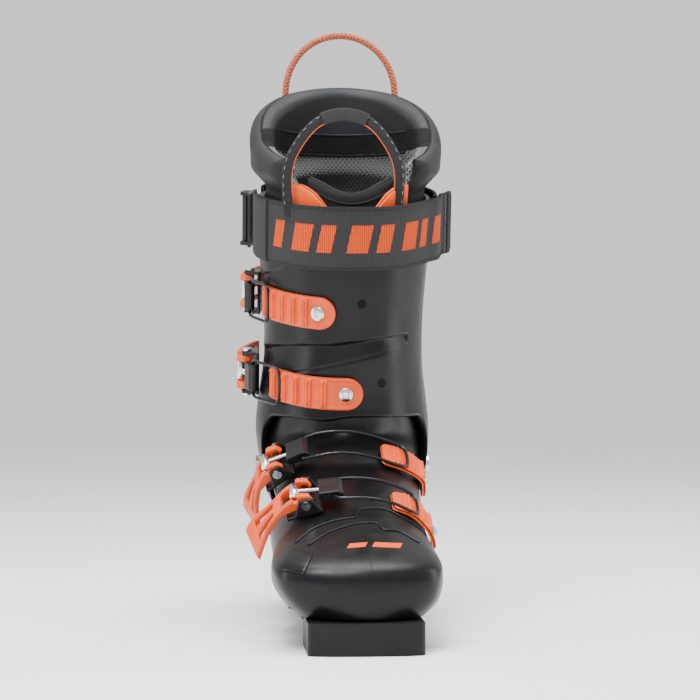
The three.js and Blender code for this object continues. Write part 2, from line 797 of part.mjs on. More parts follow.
// Everything that turns with the lever is drawn about the lever's hinge.
function lever(drop, twist) {
  const height = (x) => {
    const run = Math.min(0, x + 8);
    return 5.2 - (run * run) / (2 * BUCKLE.leverBend);
  };
  const tip = -BUCKLE.leverLength;
  const stations = Array.from({ length: 9 }, (_, i) => lerp(-8, tip, i / 8));
  const plate = slabXZ(
    [
      ...stations.map((x) => [x, height(x) + BUCKLE.leverThickness / 2]),
      ...stations.reverse().map((x) => [x, height(x) - BUCKLE.leverThickness / 2]),
    ],
    BUCKLE.leverWidth,
  );
  const cheekWidth = BUCKLE.leverWidth / 2 - CHEEK_INNER;
  const cheek = (sign) =>
    slabXZ(
      [[4, -2.5], [4.5, 2.5], [0, 6.9], [-14, 6.4], [-18, 2.6], [-10, 0.9], [-3, -2.6]],
      cheekWidth,
    ).translate([0, sign * (CHEEK_INNER + cheekWidth / 2), 0]);
  const window = (sign) => {
    const [low, high] = [sign * 2.5, sign * 8].sort((a, b) => a - b);
    return box([tip + 9, low, -40], [-22, high, 40]);
  };
  const throat = box([-15, -CHEEK_INNER, -40], [20, CHEEK_INNER, 40]);
  const crankAngle = BUCKLE.crankAngle - drop;
  const crank = [BUCKLE.crank * Math.cos(crankAngle), 0, BUCKLE.crank * Math.sin(crankAngle)];
  const grip = cut(join(plate, cheek(1), cheek(-1)), window(1), window(-1));
  return cut(
    twisted(grip, twist),
    throat,
    cylinder(RIVET.radius + CLEARANCE, 60, [0, 0, 0]),
    cylinder(BUCKLE.rodRadius + CLEARANCE, 60, crank),
  );
}

function hingeRivet(sign) {
  const inner = CHEEK_INNER + 0.3;
  const outer = EAR.inner + EAR.thickness + CLEARANCE;
  const shank = cylinder(RIVET.radius, outer - inner + 0.5, [0, (sign * (outer + inner)) / 2, 0]);
  const head = cylinder(
    RIVET.head,
    RIVET.headHeight,
    [0, sign * (outer + RIVET.headHeight / 2), 0],
  );
  return join(shank, head);
}

// Barrel, cross pin and threaded rod in one, drawn about the barrel.
function buckleRod() {
  const barrel = cylinder(3, 2 * (CHEEK_INNER - 0.5), [0, 0, 0]);
  const pin = cylinder(BUCKLE.rodRadius, 2 * (CHEEK_INNER + 3), [0, 0, 0], "y", 12);
  const length = CLEVIS_START + 9;
  const rod = cylinder(BUCKLE.rodRadius, length, [length / 2, 0, 0], "x", 12);
  return join(barrel, pin, rod);
}

function clevis() {
  const end = CLEVIS_START + BUCKLE.clevisLength;
  const profile = [
    [CLEVIS_START, -2.6],
    [end - 2, -3.4],
    [end, -1],
    [end, 1.5],
    [end - 3, 3.4],
    [CLEVIS_START, 2.6],
  ];
  const body = slabXZ(profile, 2 * CLEVIS_HALF);
  const thread = cylinder(BUCKLE.rodRadius + CLEARANCE, 26, [CLEVIS_START - 3, 0, 0], "x", 12);
  const bore = cylinder(BUCKLE.wire + CLEARANCE, 60, [WIRE_PIN, 0, 0], "y", 12);
  return cut(body, thread, bore);
}

// The wire bail: side is the run of one leg from its pin to the hook, in the plane y = 0.
function bail(side) {
  const bend = 2;
  const pinEnd = new THREE.Vector3(0, CLEVIS_HALF - 3, 0);
  const pinBend = new THREE.Vector3(0, WIRE_HALF - bend, 0);
  const legs = side.slice(1, -1).map((p) => p.clone().setY(WIRE_HALF));
  const half = [pinEnd, pinBend, ...legs, side.at(-1).clone().setY(WIRE_HALF - bend)];
  const other = half.map((p) => new THREE.Vector3(p.x, -p.y, p.z)).reverse();
  const path = new THREE.CatmullRomCurve3([...half, ...other], false, "centripetal");
  return bar(path, roundSection(BUCKLE.wire, 6), 38);
}

const HOOK_PLACE = 0.27; // share of a tooth's pitch at which the wire lies

function ladderPath({ section, ladder }) {
  return walk(section, ...ladder, BUCKLE.ladderWidth, 34);
}

function ladderSolid(buckle) {
  const path = ladderPath(buckle);
  const end = path.at(-1).length - 17;
  const tooth = ({ length }) => {
    if (length > end) return 0;
    const phase = (length / BUCKLE.toothPitch) % 1;
    return BUCKLE.toothHeight * smooth(phase, 0.5, 0.62) * (1 - smooth(phase, 0.88, 1));
  };
  return band(
    buckle.section,
    path,
    BUCKLE.ladderWidth,
    () => buckle.gap,
    (place) => buckle.gap + BUCKLE.ladderThickness + tooth(place),
  );
}

// Where the wire's crossbar lies on the ladder: an angle of the section.
function hookAngle(buckle) {
  const target = (buckle.hook + HOOK_PLACE) * BUCKLE.toothPitch;
  const path = ladderPath(buckle);
  const i = path.findIndex((place) => place.length > target);
  const [a, b] = [path[i - 1], path[i]];
  return lerp(a.angle, b.angle, (target - a.length) / (b.length - a.length));
}

const LADDER_SCREW = { radius: 2, head: 4.4, headHeight: 1.8, depth: SHELL_WALL - 0.6 };

function along(direction, solidRadius, from, to, origin, sides = 16) {
  const geometry = new THREE.CylinderGeometry(solidRadius, solidRadius, to - from, sides);
  geometry.translate(0, (from + to) / 2, 0);
  geometry.applyQuaternion(
    new THREE.Quaternion().setFromUnitVectors(new THREE.Vector3(0, 1, 0), direction),
  );
  geometry.translate(origin.x, origin.y, origin.z);
  return solidOf(geometry);
}

// The outward normal of a section's outline at an angle.
function normalAt(section, angle, width) {
  const [before, after] = [-3, 3].map((d) =>
    section.point(angle + d, section.radius(angle + d, width)),
  );
  const tangent = after.sub(before).normalize();
  return { tangent, normal: new THREE.Vector3().crossVectors(tangent, section.axis) };
}

function screwPlace({ section, screw, gap }) {
  const { normal } = normalAt(section, screw, BUCKLE.ladderWidth);
  const origin = section.point(screw, section.radius(screw, BUCKLE.ladderWidth));
  return { origin, normal, seat: gap + BUCKLE.ladderThickness };
}

// The hole a ladder screw needs in the ladder and in the shell or cuff.
function screwBore(buckle) {
  const { origin, normal } = screwPlace(buckle);
  const { radius } = LADDER_SCREW;
  return along(normal, radius + CLEARANCE, -2 * SHELL_WALL, 12, origin, 12);
}

const screwBores = (host) => BUCKLES.filter((buckle) => buckle.host === host).map(screwBore);

// The run of one leg of the wire, from its pin to the hook, held clear of the boot's surface.
function wireRun(buckle, pin, pinDirection) {
  const { section } = buckle;
  const angle = hookAngle(buckle);
  const inPlane = new THREE.Matrix4().copy(section.matrix()).invert();
  const flat = (p) => p.clone().applyMatrix4(inPlane).setZ(0);
  const seat = buckle.gap + BUCKLE.ladderThickness + BUCKLE.wire + 0.5;
  const hookPoint = section.point(angle, section.radius(angle, BUCKLE.ladderWidth) + seat);
  const { tangent } = normalAt(section, angle, BUCKLE.ladderWidth);
  const reach = 0.4 * pin.distanceTo(hookPoint);
  const curve = new THREE.CubicBezierCurve3(
    flat(pin),
    flat(pin.clone().addScaledVector(pinDirection, reach)),
    flat(hookPoint.clone().addScaledVector(tangent, -reach)),
    flat(hookPoint),
  );
  const room = BUCKLE.wire + 0.9;
  const shares = [0, 0.1, 0.26, 0.42, 0.58, 0.74, 0.92, 1];
  return shares.map((share, i) => {
    const p = curve.getPoint(share);
    if (i === 0 || i === shares.length - 1) return section.point(...polar(p));
    const [at, radius] = polar(p);
    return section.point(at, Math.max(radius, section.radius(at, 2 * WIRE_HALF) + room));
  });
}

const polar = (p) => [
  (THREE.MathUtils.radToDeg(Math.atan2(p.y, p.x)) + 360) % 360,
  Math.hypot(p.x, p.y),
];

function addBuckle(buckle) {
  const { name, section, host, hinge, drop, pitch } = buckle;
  const twist = host === boot ? BUCKLE.leverTwist : 0;
  const width = 2 * (EAR.inner + EAR.thickness);
  const { tangent, normal } = normalAt(section, hinge, width);
  const frame = new THREE.Group();
  frame.matrixAutoUpdate = false;
  const origin = section
    .point(hinge, section.radius(hinge, width))
    .addScaledVector(normal, 2 * CLEARANCE);
  frame.matrix.makeBasis(tangent, section.axis, normal).setPosition(origin);
  host.add(frame);
  add(frame, name + "_base", buckleBase(), LOOK.black);

  const leverGroup = new THREE.Group();
  leverGroup.name = name + "_lever_hinge";
  leverGroup.position.z = BUCKLE.hingeHeight;
  frame.add(leverGroup);
  const leverMesh = add(leverGroup, name + "_lever", lever(radians(drop), twist), LOOK.orange);
  leverMesh.rotation.y = -radians(drop);
  for (const [side, sign] of [["front", -1], ["rear", 1]]) {
    const rivet = add(frame, name + "_rivet_" + side, hingeRivet(sign), LOOK.chrome);
    rivet.position.z = BUCKLE.hingeHeight;
  }

  const rodGroup = new THREE.Group();
  rodGroup.name = name + "_rod_hinge";
  rodGroup.position.set(BARREL.x, 0, BARREL.z - BUCKLE.hingeHeight);
  rodGroup.rotation.y = radians(pitch);
  leverGroup.add(rodGroup);
  add(rodGroup, name + "_rod", buckleRod(), LOOK.chrome);
  add(rodGroup, name + "_clevis", clevis(), LOOK.black);

  const wireGroup = new THREE.Group();
  wireGroup.name = name + "_wire_hinge";
  wireGroup.position.x = WIRE_PIN;
  rodGroup.add(wireGroup);
  boot.updateMatrixWorld(true);
  const pin = wireGroup.getWorldPosition(new THREE.Vector3());
  const pinDirection = new THREE.Vector3(1, 0, 0).transformDirection(wireGroup.matrixWorld);
  const side = wireRun(buckle, pin, pinDirection).map((p) => wireGroup.worldToLocal(p));
  add(wireGroup, name + "_wire", bail(side), LOOK.wire);

  add(host, name + "_ladder", cut(ladderSolid(buckle), screwBore(buckle)), LOOK.orange);
  const { origin: screwOrigin, normal: screwNormal, seat } = screwPlace(buckle);
  const { radius, head, headHeight, depth } = LADDER_SCREW;
  const headLow = seat + CLEARANCE;
  add(
    host,
    name + "_ladder_screw",
    join(
      along(screwNormal, radius, -depth, headLow + 0.5, screwOrigin, 12),
      along(screwNormal, head, headLow, headLow + headHeight, screwOrigin),
    ),
    LOOK.chrome,
  );
}

// ---------------------------------------------------------------- power strap
const strapSection = new Section(STRAP.height, LEAN, 68, onCuff);
const STRAP_GAP = 0.8;
const STRAP_BUCKLE_ANGLE = 163;

function addPowerStrap() {
  const layer = STRAP_GAP + STRAP.thickness;
  const strapBand = (from, to, steps, inner) =>
    band(
      strapSection,
      walk(strapSection, from, to, STRAP.width, steps),
      STRAP.width,
      inner,
      (place) => inner(place) + STRAP.thickness,
    );
  add(cuffGroup, "rear_strap", strapBand(-16, 150, 26, () => STRAP_GAP), LOOK.webbing);
  const freeEnd = 366;
  const lift = ({ angle }) =>
    STRAP_GAP +
    smooth(angle, 324, 338) * (layer + 0.5 - STRAP_GAP) +
    7 * smooth(angle, 352, freeEnd);
  add(cuffGroup, "power_strap", strapBand(172, freeEnd, 34, lift), LOOK.webbing);

  const { tangent, normal } = normalAt(strapSection, STRAP_BUCKLE_ANGLE, STRAP.width);
  const origin = strapSection.point(
    STRAP_BUCKLE_ANGLE,
    strapSection.radius(STRAP_BUCKLE_ANGLE, STRAP.width),
  );
  const frame = new THREE.Group();
  frame.matrixAutoUpdate = false;
  frame.matrix
    .makeBasis(tangent, strapSection.axis, normal)
    .setPosition(origin.addScaledVector(normal, layer + 0.8));
  cuffGroup.add(frame);
  add(frame, "strap_buckle", strapBuckle(), LOOK.black);
  const cam = new THREE.Group();
  cam.name = "strap_cam_hinge";
  cam.position.set(0, 0, CAM.height);
  frame.add(cam);
  add(cam, "strap_cam", strapCam(), LOOK.black);
  const rivet = along(
    strapSection.direction(90),
    3.2,
    layer + 0.4,
    layer + 1.8,
    strapSection.point(90, strapSection.radius(90, STRAP.width)),
  );
  add(cuffGroup, "strap_rivet", rivet, LOOK.chrome);
}

const CAM = { height: 5, width: 30, pin: 1.8 };

function strapBuckle() {
  const half = CAM.width / 2 + 0.6;
  const plate = box([-12, -half - 2.4, 0], [14, half + 2.4, 1.8]);
  const ear = (sign) =>
    slabXZ([[-7, 0.5], [7, 0.5], [4, 8.6], [-4, 8.6]], 2.4).translate([
      0,
      sign * (half + 1.2),
      0,
    ]);
  return cut(
    join(plate, ear(1), ear(-1)),
    cylinder(CAM.pin + CLEARANCE, 80, [0, 0, CAM.height], "y", 12),
  );
}

// The cam lever of the strap buckle with its own pins, drawn about its hinge.
function strapCam() {
  const profile = [[1.5, -2.2], [2.8, 0], [1.5, 2.6], [-2, 3.2], [-16, 1.6], [-16, -0.4], [-3, -2.4]];
  const plate = slabXZ(profile, CAM.width);
  return join(plate, cylinder(CAM.pin, CAM.width + 5, [0, 0, 0], "y", 12));
}

// ---------------------------------------------------------------- pull loops
const REAR_LOOP = { half: 38, rise: 44 };
const TONGUE_LOOP_X = -5; // it leans to the outer side

function addLoops() {
  const base = LINER_TOP.rear - 8;
  const y = surface(0.5, LINER_TOP.rear, 0).y - 1;
  const rear = new THREE.CatmullRomCurve3(
    Array.from({ length: 13 }, (_, i) => {
      const angle = (Math.PI * (i - 6)) / 12;
      const x = REAR_LOOP.half * Math.sin(angle);
      return new THREE.Vector3(x, y, base + REAR_LOOP.rise * Math.cos(angle) ** 0.9);
    }),
    false,
    "centripetal",
  );
  add(cuffGroup, "rear_loop", bar(rear, flatSection(4, 3.6), 36), LOOK.loop);

  const front = surface(0, TONGUE.top, 0).y + CUFF_WALL + 3;
  const tongueLoop = new THREE.CatmullRomCurve3(
    [
      [-36, 6, 278],
      [-36, 4, 291],
      [-30, 2, 308],
      [-17, 0, 323],
      [0, 0, 328],
      [17, 0, 323],
      [30, 2, 308],
      [36, 4, 291],
      [36, 6, 278],
    ].map(([x, dy, z]) => new THREE.Vector3(x + TONGUE_LOOP_X, front + dy, z)),
    false,
    "centripetal",
  );
  add(cuffGroup, "tongue_loop", bar(tongueLoop, flatSection(2.4, 6), 36), LOOK.webbing);
}

addSoles();
addLowerShell();
addFootLayers();
addCuff();
addLinerShaft();
addTongue();
addWings();
BUCKLES.forEach(addBuckle);
addPowerStrap();
addLoops();

export default boot;
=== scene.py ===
"""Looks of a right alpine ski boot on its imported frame.

The frame is in metres, +Z up, toe towards -Y, lateral side towards -X. Sizes here are millimetres
and become metres when a mesh is made."""

import json
import math

import bpy
import numpy as np
from mathutils import Matrix, Vector


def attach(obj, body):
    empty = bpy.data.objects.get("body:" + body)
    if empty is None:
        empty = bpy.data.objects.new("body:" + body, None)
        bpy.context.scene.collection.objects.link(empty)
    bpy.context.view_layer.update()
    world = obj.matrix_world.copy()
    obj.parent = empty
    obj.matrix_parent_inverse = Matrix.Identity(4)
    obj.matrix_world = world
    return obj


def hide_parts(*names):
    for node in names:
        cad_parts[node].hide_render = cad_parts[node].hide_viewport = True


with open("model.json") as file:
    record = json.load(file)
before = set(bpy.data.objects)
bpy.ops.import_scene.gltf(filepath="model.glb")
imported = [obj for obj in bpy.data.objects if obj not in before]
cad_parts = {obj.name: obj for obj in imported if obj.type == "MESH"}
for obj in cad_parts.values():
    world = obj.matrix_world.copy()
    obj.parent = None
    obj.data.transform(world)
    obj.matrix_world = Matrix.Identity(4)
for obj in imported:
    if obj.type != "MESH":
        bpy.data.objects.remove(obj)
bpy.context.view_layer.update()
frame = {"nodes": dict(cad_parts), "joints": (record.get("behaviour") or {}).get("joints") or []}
NODES = frame["nodes"]
JOINTS = {joint["name"]: joint for joint in frame["joints"]}
MM = 0.001


# ---------------------------------------------------------------- camera and light
def look_at(obj, target):
    obj.rotation_euler = (Vector(target) - obj.location).to_track_quat("-Z", "Y").to_euler()


def add_camera():
    """Level with the lower cuff, 1.3 m ahead and 4 degrees round to the lateral side."""
    data = bpy.data.cameras.new("camera")
    data.sensor_width, data.lens = 36, 115.4
    camera = bpy.data.objects.new("camera", data)
    camera.location = (-0.1009, -1.3272, 0.178)
    camera.rotation_euler = (math.pi / 2, 0, math.radians(-4))
    bpy.context.scene.collection.objects.link(camera)
    bpy.context.scene.camera = camera


def add_light(name, place, target, size, watts, size_y=None):
    data = bpy.data.lights.new(name, "AREA")
    data.shape = "RECTANGLE"
    data.size, data.size_y, data.energy = size, size_y or size, watts
    light = bpy.data.objects.new(name, data)
    light.location = place
    bpy.context.scene.collection.objects.link(light)
    look_at(light, target)


def add_studio():
    world = bpy.data.worlds.new("studio")
    world.use_nodes = True
    world.node_tree.nodes["Background"].inputs["Color"].default_value = (1, 1, 1, 1)
    world.node_tree.nodes["Background"].inputs["Strength"].default_value = 1.0
    bpy.context.scene.world = world
    add_light("key", (-0.3, -0.55, 1.2), (0, -0.02, 0.08), 0.55, 22)
    add_light("top", (0.05, 0.1, 1.3), (0, 0.1, 0.1), 0.8, 22)
    add_light("left", (-1.3, 0.15, 0.35), (0, 0.1, 0.2), 0.22, 6, 1.2)
    add_light("right", (1.3, 0.25, 0.35), (0, 0.1, 0.2), 0.22, 7, 1.2)
    floor = bpy.data.meshes.new("floor")
    half = 4
    floor.from_pydata([(-half, -half, 0), (half, -half, 0), (half, half, 0), (-half, half, 0)],
                      [], [(0, 1, 2, 3)])
    obj = bpy.data.objects.new("floor", floor)
    bpy.context.scene.collection.objects.link(obj)
    paper = Look("floor_paper", (0.93, 0.93, 0.93), 0.7)
    paper.vary(paper.noise(3), 0.02)
    floor.materials.append(paper.material)


# ---------------------------------------------------------------- materials
class Look:
    """A procedural material. Patterns read object coordinates, or the mesh's UV in metres."""

    def __init__(self, name, color, roughness, metallic=0.0, **sockets):
        self.material = bpy.data.materials.new(name)
        self.material.use_nodes = True
        self.tree = self.material.node_tree
        self.shader = self.tree.nodes["Principled BSDF"]
        self.color = color
        values = {"Base Color": (*color, 1), "Roughness": roughness, "Metallic": metallic}
        for key, value in {**values, **sockets}.items():
            self.shader.inputs[key].default_value = value
        self.roughness = roughness
        self.coords = self.node("ShaderNodeTexCoord")
        self.height = None

    def node(self, kind, **settings):
        made = self.tree.nodes.new(kind)
        for key, value in settings.items():
            setattr(made, key, value)
        return made

    def link(self, output, target):
        self.tree.links.new(output, target)

    def mapped(self, scale=(1, 1, 1), turn=(0, 0, 0), uv=False):
        mapping = self.node("ShaderNodeMapping")
        self.link(self.coords.outputs["UV" if uv else "Object"], mapping.inputs["Vector"])
        mapping.inputs["Scale"].default_value = scale
        mapping.inputs["Rotation"].default_value = [math.radians(a) for a in turn]
        return mapping.outputs["Vector"]

    def noise(self, scale, detail=3, stretch=(1, 1, 1), uv=False):
        texture = self.node("ShaderNodeTexNoise")
        texture.inputs["Scale"].default_value = scale
        texture.inputs["Detail"].default_value = detail
        self.link(self.mapped(stretch, uv=uv), texture.inputs["Vector"])
        return texture.outputs["Fac"]

    def wave(self, pitch, turn=(0, 0, 0), profile="SIN", distortion=0.0, uv=False):
        """Stripes across x of the turned coordinates, with a pitch in millimetres."""
        texture = self.node("ShaderNodeTexWave", wave_profile=profile)
        texture.inputs["Scale"].default_value = 2 * math.pi / (20 * pitch * MM)
        texture.inputs["Distortion"].default_value = distortion
        texture.inputs["Detail"].default_value = 1
        self.link(self.mapped(turn=turn, uv=uv), texture.inputs["Vector"])
        return texture.outputs["Fac"]

    def cells(self, size):
        texture = self.node("ShaderNodeTexVoronoi")
        texture.inputs["Scale"].default_value = 1 / (size * MM)
        self.link(self.mapped(), texture.inputs["Vector"])
        return texture.outputs["Distance"]

    def math(self, operation, a, b):
        made = self.node("ShaderNodeMath", operation=operation)
        for socket, value in zip(made.inputs, (a, b)):
            if isinstance(value, (int, float)):
                socket.default_value = value
            else:
                self.link(value, socket)
        return made.outputs["Value"]

    def ramp(self, value, low, high, start=0.0, end=1.0):
        made = self.node("ShaderNodeMapRange")
        for key, number in (("From Min", start), ("From Max", end), ("To Min", low), ("To Max", high)):
            made.inputs[key].default_value = number
        self.link(value, made.inputs["Value"])
        return made.outputs["Result"]

    def mix(self, fac, first, second):
        """The base colour goes from first to second; each is a colour or another mix."""
        made = self.node("ShaderNodeMix", data_type="RGBA")
        self.link(fac, made.inputs["Factor"])
        for key, value in ((6, first), (7, second)):
            if isinstance(value, tuple):
                made.inputs[key].default_value = (*value, 1)
            else:
                self.link(value, made.inputs[key])
        self.link(made.outputs[2], self.shader.inputs["Base Color"])
        return made.outputs[2]

    def vary(self, fac, share):
        """Lightens and darkens the colour by a share."""
        darker, lighter = (tuple(c * (1 + sign * share) for c in self.color) for sign in (-1, 1))
        return self.mix(self.ramp(fac, 0, 1, 0.3, 0.7), darker, lighter)

    def rough(self, fac, spread):
        low, high = self.roughness - spread, self.roughness + spread
        self.link(self.ramp(fac, low, high, 0.3, 0.7), self.shader.inputs["Roughness"])

    def bump(self, height, depth):
        """Adds relief of a depth in millimetres."""
        made = self.node("ShaderNodeBump")
        made.inputs["Distance"].default_value = depth * MM
        self.link(height, made.inputs["Height"])
        if self.height is not None:
            self.link(self.height, made.inputs["Normal"])
        self.height = made.outputs["Normal"]
        self.link(self.height, self.shader.inputs["Normal"])


def plastic(name, color, roughness, grain=0.05, **sockets):
    """Moulded plastic: a fine grain, faint flow marks and rubbed patches."""
    look = Look(name, color, roughness, **sockets)
    look.vary(look.noise(26, 4), 0.16)
    look.rough(look.noise(90, 5, (1, 1, 0.25)), 0.06)
    look.bump(look.noise(1500, 2), grain)
    look.bump(look.noise(60, 2), 0.12)
    return look.material


def metal(name, color, roughness, metallic, scale=400, **sockets):
    look = Look(name, color, roughness, metallic, **sockets)
    look.vary(look.noise(70, 4), 0.12)
    look.rough(look.noise(scale, 4), 0.08)
    look.bump(look.noise(1800, 2), 0.02)
    return look.material


def webbing(name, color, rib=1.15, **sockets):
    """Woven tape: ribs across its length, crossed by fine warp threads. UV x runs along the tape."""
    look = Look(name, color, 0.78, **sockets)
    ribs = look.wave(rib, uv=True, distortion=0.3)
    threads = look.wave(0.7, (0, 0, 90), uv=True)
    # Painted shade: the colour falls to 0.45 of itself in the grooves between the ribs, where the rib relief
    # is low.
    look.mix(look.ramp(ribs, 0, 1, 0.1, 0.8), tuple(c * 0.45 for c in color), color)
    look.bump(ribs, 0.28)
    look.bump(threads, 0.14)
    look.bump(look.noise(2200, 2), 0.06)
    return look


def cloth(name, color, roughness=0.85, grain=0.08, **sockets):
    look = Look(name, color, roughness, **sockets)
    look.vary(look.noise(60, 4), 0.12)
    look.rough(look.noise(40, 3), 0.06)
    look.bump(look.cells(0.7), grain)
    look.bump(look.noise(900, 3), grain)
    return look


def mesh_fabric(name, color):
    """Knitted mesh with a diamond grid."""
    look = Look(name, color, 0.7, **{"Sheen Weight": 0.3})
    lines = [look.wave(2.3, (0, turn, 0)) for turn in (38, -38)]
    grid = look.math("MAXIMUM", *lines)
    # Painted shade: the hollows between the diamond grid's ridges are darkened to 0.22 of the colour.
    look.mix(look.ramp(grid, 0, 1, 0.55, 0.95), tuple(c * 0.22 for c in color), color)
    look.bump(grid, 0.5)
    look.bump(look.noise(1500, 2), 0.05)
    return look.material


def braid(name, color, dark):
    """Round braid: two sets of strands that cross, with dark flecks."""
    look = Look(name, color, 0.7, **{"Sheen Weight": 0.25})
    strands = [look.wave(2.1, (0, 0, turn), uv=True) for turn in (35, -35)]
    cross = look.math("MULTIPLY", *strands)
    fleck = look.math("MULTIPLY", look.ramp(strands[0], 0, 1, 0.62, 0.8), look.noise(900, 2))
    # Painted shade: where the strands dip between crossings the colour falls to 0.45 of itself; the dark
    # flecks on the next line are the braid's own colour.
    first = look.mix(look.ramp(cross, 0, 1, 0.0, 0.5), tuple(c * 0.45 for c in color), color)
    look.mix(look.ramp(fleck, 0, 1, 0.35, 0.55), first, dark)
    look.bump(cross, 0.5)
    return look.material


ORANGE = (0.7, 0.07, 0.005)
SATIN = {"Specular IOR Level": 0.35}
DULL = {"Specular IOR Level": 0.2}
M = {
    "shell": plastic("shell_plastic", (0.004, 0.0042, 0.0047), 0.33, **DULL),
    "lug": plastic("lug_plastic", (0.006, 0.0062, 0.007), 0.5, 0.08, **DULL),
    "orange": metal("orange_cast", ORANGE, 0.42, 0.0, 120, **SATIN),
    "black": metal("black_cast", (0.01, 0.01, 0.011), 0.34, 0.3, **SATIN),
    "chrome": metal("bright_zinc", (0.74, 0.76, 0.78), 0.2, 1.0),
    "wire": metal("black_wire", (0.02, 0.02, 0.022), 0.24, 0.6),
    "liner": cloth("liner_smooth", (0.017, 0.0175, 0.019), 0.58, 0.05, **DULL).material,
    "lining": cloth("liner_lining", (0.012, 0.0123, 0.013), 0.9, 0.12, **DULL).material,
    "fleece": cloth("liner_fleece", (0.009, 0.009, 0.0095), 0.95, 0.6, **DULL).material,
    "mesh": mesh_fabric("liner_mesh", (0.02, 0.0205, 0.022)),
    "trim": plastic("orange_trim", (0.75, 0.08, 0.006), 0.5, 0.04, **DULL),
    "webbing": webbing("strap_webbing", (0.014, 0.0143, 0.0155)).material,
    "edging": webbing("strap_edging", (0.006, 0.006, 0.0065), 0.6).material,
    "print": webbing("strap_print", (0.8, 0.08, 0.006), 1.15, **DULL).material,
    "red": cloth("red_piping", (0.55, 0.07, 0.02)).material,
    "thread": cloth("grey_thread", (0.16, 0.16, 0.17)).material,
    "braid": braid("loop_braid", (0.66, 0.11, 0.02), (0.02, 0.012, 0.01)),
    "foam": cloth("grey_foam", (0.05, 0.05, 0.052), 0.9, 0.3).material,
}


# ---------------------------------------------------------------- the boot's surface, as in the CAD source
TOE_Y = -30
TOE_SKEW, TOE_TUCK = 3, 5
SHELL_WALL = CUFF_WALL = 4.5
CUFF_GAP, FLEX_ROOM = 1.6, 2.5
SHELL_TOP = 134
CUFF_TOP = {"front": 266, "rear": 292}
LEAN = 102
LEVELS = np.array([
    [12, 9, 298, 27, 33, 33, 33],
    [19, 8, 298, 31, 37, 35, 35],
    [28, 7, 298, 41, 45.5, 40, 39],
    [38, 6, 298, 47, 50.5, 43.5, 42],
    [46, 7, 298, 48, 51.5, 45.5, 43],
    [52, 12, 298, 46.5, 51.5, 46.5, 43.5],
    [60, 28, 298, 41, 51, 47, 44],
    [72, 56, 298, 34, 49.5, 47.5, 45],
    [84, 83, 298, 31, 48.5, 50, 46.5],
    [98, 110, 298, 30, 50, 54, 48],
    [112, 132, 297, 28, 52, 57, 48],
    [128, 150, 295, 26, 53, 58, 46],
    [145, 152, 291, 25, 51, 56.5, 42],
    [170, 147, 286, 24, 48.5, 53, 38],
    [200, 141, 279, 23, 48, 52.5, 37],
    [230, 134, 272, 25, 50, 54, 38],
    [260, 127, 265, 27, 52, 56, 39],
    [290, 121, 258, 28, 53, 57, 40],
    [330, 112, 250, 29, 55, 59, 42],
    [380, 102, 240, 30, 56, 60, 43],
], float)
STATIONS = np.array([0.05, 0.3, 0.6, 0.88])


def smooth(value, low, high):
    t = np.clip((np.asarray(value, float) - low) / (high - low), 0, 1)
    return t * t * (3 - 2 * t)


def lerp(a, b, t):
    return a + (b - a) * t


def level_at(z):
    """Front, rear and half widths at any height, by a cubic through the rows."""
    heights, last = LEVELS[:, 0], len(LEVELS) - 1
    z = np.clip(z, heights[0], heights[-1])
    i = np.clip(np.searchsorted(heights, z, "left") - 1, 0, last - 1)
    before, after = np.maximum(np.arange(last + 1) - 1, 0), np.minimum(np.arange(last + 1) + 1, last)
    slopes = (LEVELS[after, 1:] - LEVELS[before, 1:]) / (heights[after] - heights[before])[:, None]
    step = (heights[i + 1] - heights[i])[..., None]
    t = ((z - heights[i]) / step[..., 0])[..., None]
    return ((2 * t**3 - 3 * t**2 + 1) * LEVELS[i, 1:] + (t**3 - 2 * t**2 + t) * slopes[i] * step
            + (3 * t**2 - 2 * t**3) * LEVELS[i + 1, 1:] + (t**3 - t**2) * slopes[i + 1] * step)


def surface(u, z, inset=0.0):
    """Points of the outline at height z, at share u of the way round from the front centre."""
    u, z, inset = np.broadcast_arrays(*(np.asarray(v, float) for v in (u, z, inset)))
    rows = level_at(z + inset)
    low, high = TOE_Y + rows[..., 0] + inset, TOE_Y + rows[..., 1] - inset
    at_toe = 1 - smooth(z, 60, 110)
    halves = rows[..., 2:] - inset[..., None]
    tuck = TOE_TUCK * smooth(z + inset, 20, 44) * at_toe
    inner = halves - tuck[..., None] * np.array([1, 1, 0, 0])
    along = low[..., None] + (high - low)[..., None] * STATIONS
    x = np.concatenate([TOE_SKEW * at_toe[..., None], inner,
                        np.zeros_like(low)[..., None], -halves[..., ::-1]], -1)
    y = np.concatenate([low[..., None], along, high[..., None], along[..., ::-1]], -1)
    knots = np.stack([x, y], -1)
    count = knots.shape[-2]
    place = (u % 1) * count
    first = np.floor(place).astype(int)
    t = (place - first)[..., None]
    p = [np.take_along_axis(knots, ((first + k) % count)[..., None, None], -2)[..., 0, :]
         for k in (-1, 0, 1, 2)]
    d = [np.maximum(np.linalg.norm(b - a, axis=-1), 1e-9)[..., None] ** 0.5
         for a, b in zip(p, p[1:])]
    m1 = ((p[1] - p[0]) / d[0] - (p[2] - p[0]) / (d[0] + d[1]) + (p[2] - p[1]) / d[1]) * d[1]
    m2 = ((p[2] - p[1]) / d[1] - (p[3] - p[1]) / (d[1] + d[2]) + (p[3] - p[2]) / d[2]) * d[1]
    xy = (p[1] + m1 * t + (-3 * p[1] + 3 * p[2] - 2 * m1 - m2) * t**2
          + (2 * p[1] - 2 * p[2] + m1 + m2) * t**3)
    return np.concatenate([xy, z[..., None]], -1)


def shell_surface(u, z, inset=0.0):
    """The lower shell's own surface, which passes under the cuff."""
    u, z, inset = np.broadcast_arrays(*(np.asarray(v, float) for v in (u, z, inset)))
    y = surface(u, z)[..., 1]
    under = np.maximum(smooth(z, 88, 106), smooth(y, 112, 132) * smooth(z, 50, 68))
    shin = smooth(z, 112, 126) * (1 - smooth(y, 140, 165))
    return surface(u, z, under * (CUFF_WALL + CUFF_GAP) + shin * FLEX_ROOM + inset)


